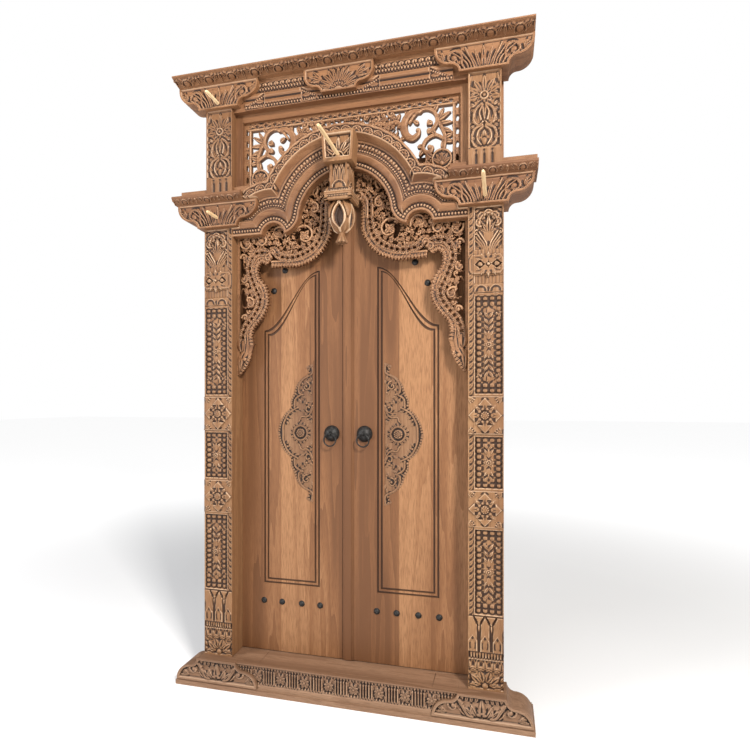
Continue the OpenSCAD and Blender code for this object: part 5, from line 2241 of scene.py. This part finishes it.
@dataclass
class Medallions:
    """The half-moon medallions on the leaves: a flower between ribs, with a scalloped edge."""

    finishes: Finishes
    step: float = 1.6
    inset: float = 158.0
    depth: float = 4.0
    outline: Line = ((-2, 298), (30, 284), (19, 257), (53, 234), (76, 206), (85, 177), (103, 139), (102, 110),
                     (130, 83), (152, 45), (163, 0))
    ribs: Sequence[Line] = (
        ((24, 284), (13, 294), (4, 284), (6, 254), (44, 233), (64, 202), (64, 174), (48, 164)),
        ((56, 164), (82, 144), (85, 110)),
        ((70, 110), (112, 84), (136, 37), (138, 0)),
    )

    def build(self) -> None:
        """Makes the medallion of each leaf."""
        x0, x1, y0, y1, z0, z1 = place_of("right_leaf")
        pull = place_of("right_pull_dome")
        middle = (pull[4] + pull[5]) / 2
        half = smooth(self.outline, 5)
        loop = half + [(a, -b) for a, b in reversed(half[:-1])]
        r = Relief(-2, 168, -300, 300, self.step)
        edge = polygon_distance(r.u, r.v, loop)
        r.ground = 0.0
        for u, v, turn in spaced(loop, 11.5):
            c, s = heading(turn + 90)
            r.bead(u + 5 * c, v, 1, 0.5)
            r.bead(u - 5 * c, v - 5 * s, 6.0, 5.2)
        for line in self.ribs:
            for flip in (1, -1):
                curve = smooth([(a, flip * b) for a, b in line], 6)
                r.stem(curve, 4.6, 6)
        for flip in (1, -1):
            r.scroll(18, flip * 284, 12, 60, 0.8 * flip, 4, 6, 4)
            r.scroll(30, flip * 200, 20, 100, 1.0 * flip, 3.6, 5.5, 4)
            r.stem(smooth([(0, flip * 108), (22, flip * 72), (52, flip * 70), (62, flip * 52)], 6), 4, 5.5,
                   3.4)
            r.stem(smooth([(2, flip * 118), (14, flip * 92), (30, flip * 96), (28, flip * 112),
                           (16, flip * 110)], 6), 3.8, 5.5, 3.4)
            for u, v, a, size in ((54, 128, 60, 34), (40, 120, 100, 30), (10, 160, 60, 30), (30, 150, 20, 30),
                                  (8, 226, 80, 28), (46, 204, 70, 24), (10, 188, 10, 22), (4, 64, 50, 28),
                                  (84, 84, 30, 26), (96, 62, 40, 26), (112, 34, 60, 24), (10, 40, 100, 24),
                                  (14, 130, 150, 20), (66, 92, 20, 24), (4, 210, 100, 22), (36, 92, 20, 24)):
                r.petal(u, flip * v, a * flip, size * 0.9, 9.5, 5.5, 0.65)
            for u, v in ((30, 128), (10, 172), (44, 184), (92, 100), (118, 60), (24, 60)):
                r.bead(u, flip * v, 5, 5.5)
        r.fan(57, 0, 26, 49, 0, 360, 16, 5.5, 0.92)
        r.stem(arc(57, 0, 31, 0, 360, 36), 4.2, 6)
        r.bead(57, 0, 21, 6)
        for ring, count in ((15, 12), (8, 7), (0, 1)):
            for k in range(count):
                a = 2 * math.pi * k / count
                r.bead(57 + ring * math.cos(a), ring * math.sin(a), 3.2, 2.2, base=5.2)
        r.trim(edge)
        strip = place_of("meeting_strip")
        mid = (strip[0] + strip[1]) / 2
        for side, mirrored, body in (("right", False, "right_leaf_body"), ("left", True, "left_leaf_body")):
            way = -1 if mirrored else 1
            at = (way * mid + self.inset, y0 + self.depth - 0.5, middle)
            bm = carve(r, Stand(at, mirrored=mirrored), lambda u, v: 1.0)
            finished(f"{side}_medallion_carved", bm, self.finishes.sunk, body=body)


# Painted shade in the bottoms of the leaves' grooves: its cut value and the depth range in millimetres that
# gets it.
GROOVE_CUT = -0.52
GROOVE_DEPTH = (1.0, 8.0)


def shade_grooves(piece: bpy.types.Object, front: float) -> None:
    """Marks the bottoms of a leaf's grooves as hollows for its finish.

    Args:
        piece: the leaf.
        front: Y of its face in millimetres.
    """
    cut = piece.data.attributes.new("cut", "FLOAT", "POINT")
    to_door = piece.matrix_world
    for index, vert in enumerate(piece.data.vertices):
        deep = (to_door @ vert.co).y / MM - front
        cut.data[index].value = GROOVE_CUT if GROOVE_DEPTH[0] < deep < GROOVE_DEPTH[1] else 0.0


def dress_cad(finishes: Finishes) -> None:
    """Gives each plain CAD node its finish.

    Args:
        finishes: the door's finishes.
    """
    across = ("sill_beam", "top_beam", "cornice", "left_ledge", "right_ledge", "transom_rail", "head_board",
              "apron_strip", "left_upper_batten", "left_lower_batten", "right_upper_batten",
              "right_lower_batten")
    for name, piece in frame["nodes"].items():
        if name == "sill_beam":
            finish = finishes.wear_and_highlight
        elif name in across:
            finish = finishes.across
        elif name.endswith("_peg"):
            finish = finishes.pale
        elif name.endswith(("_leaf", "meeting_strip")):
            finish = finishes.leaf
        elif name.endswith(("_pins", "_studs", "_dome", "_ring")):
            finish = finishes.iron
        else:
            finish = finishes.upright
        if name in ("left_leaf", "right_leaf"):
            shade_grooves(piece, place_of(name)[2])
        piece.data.materials.clear()
        piece.data.materials.append(finish)


PARTS = (BracketBoards, BaseBoards, PostBoards, Mouldings, ArchBoards, KeyAndDrop, Spandrels, Transom,
         BeamFace, Medallions)


# ---- light, floor and camera ----------------------------------------------------------------


@dataclass(frozen=True)
class Lamp:
    """A soft square light: where it stands and aims, its side in metres, its power and its colour."""

    name: str
    at: tuple[float, float, float]
    aim: tuple[float, float, float]
    size: float
    watts: float
    colour: tuple[float, float, float]


@dataclass
class Studio:
    """Soft white studio: a pale floor that runs into the background, big soft lights and the camera."""

    finishes: Finishes
    camera_at: tuple[float, float, float] = (0.6233, -2.0348, 1.2215)
    turn: float = 0.24222
    lens: float = 24.67
    shift_up: float = 0.03356
    sensor: float = 36.0
    floor_half: float = 30.0
    floor_z: float = -0.0005
    ambient: float = 0.30
    lamps: Sequence[Lamp] = (
        Lamp("key", (2.6, -3.2, 3.6), (0, 0, 1.3), 0.8, 300, (1.0, 0.97, 0.93)),
        Lamp("fill", (-3.4, -2.6, 2.0), (0, 0, 1.1), 1.6, 120, (0.95, 0.97, 1.0)),
        Lamp("top", (-0.4, -1.0, 4.8), (0, 0.2, 1.2), 2.0, 60, (1.0, 1.0, 1.0)),
    )

    def light(self, lamp: Lamp) -> None:
        """Adds one light.

        Args:
            lamp: what it is like.
        """
        data = bpy.data.lights.new(lamp.name, "AREA")
        data.shape = "SQUARE"
        data.size = lamp.size
        data.energy = lamp.watts
        data.color = lamp.colour
        light = bpy.data.objects.new(lamp.name, data)
        light.location = lamp.at
        light.rotation_euler = (Vector(lamp.aim) - Vector(lamp.at)).to_track_quat("-Z", "Y").to_euler()
        bpy.context.scene.collection.objects.link(light)

    def backdrop(self, tree: bpy.types.NodeTree) -> None:
        """Shows the surroundings as plain white without lighting the door more.

        Args:
            tree: the surroundings' nodes.
        """
        white = tree.nodes.new("ShaderNodeBackground")
        white.inputs["Color"].default_value = WHITE
        white.inputs["Strength"].default_value = 1.0
        seen = tree.nodes.new("ShaderNodeLightPath")
        mix = tree.nodes.new("ShaderNodeMixShader")
        tree.links.new(seen.outputs["Is Camera Ray"], mix.inputs[0])
        tree.links.new(tree.nodes["Background"].outputs[0], mix.inputs[1])
        tree.links.new(white.outputs[0], mix.inputs[2])
        tree.links.new(mix.outputs[0], tree.nodes["World Output"].inputs["Surface"])

    def build(self) -> None:
        """Makes the floor, the lights, the surroundings and the camera."""
        bm = bmesh.new()
        bmesh.ops.create_grid(bm, x_segments=1, y_segments=1, size=self.floor_half)
        bmesh.ops.translate(bm, verts=bm.verts, vec=(0, 0, self.floor_z))
        mesh = bpy.data.meshes.new("floor")
        bm.to_mesh(mesh)
        bm.free()
        floor = bpy.data.objects.new("floor", mesh)
        mesh.materials.append(self.finishes.floor)
        bpy.context.scene.collection.objects.link(floor)
        world = bpy.data.worlds.new("studio")
        world.use_nodes = True
        glow = world.node_tree.nodes["Background"].inputs
        glow["Color"].default_value = WHITE
        glow["Strength"].default_value = self.ambient
        self.backdrop(world.node_tree)
        bpy.context.scene.world = world
        for lamp in self.lamps:
            self.light(lamp)
        data = bpy.data.cameras.new("camera")
        data.sensor_width = self.sensor
        data.lens = self.lens
        data.shift_y = self.shift_up
        camera = bpy.data.objects.new("camera", data)
        camera.location = self.camera_at
        camera.rotation_euler = (math.pi / 2, 0, self.turn)
        bpy.context.scene.collection.objects.link(camera)
        bpy.context.scene.camera = camera
        bpy.context.scene.view_settings.view_transform = "Standard"


def main() -> None:
    """Builds the door and reports each piece."""
    logging.basicConfig(level=logging.INFO, format="%(message)s")
    finishes = Finishes()
    dress_cad(finishes)
    for part in PARTS:
        part(finishes).build()
        log.info("%s done", part.__name__)
    count = sum(len(p.vertices) - 2 for o in bpy.data.objects if o.type == "MESH" for p in o.data.polygons)
    log.info("%d triangles", count)
    Studio(finishes).build()
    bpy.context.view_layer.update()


if __name__ == "__main__":
    main()
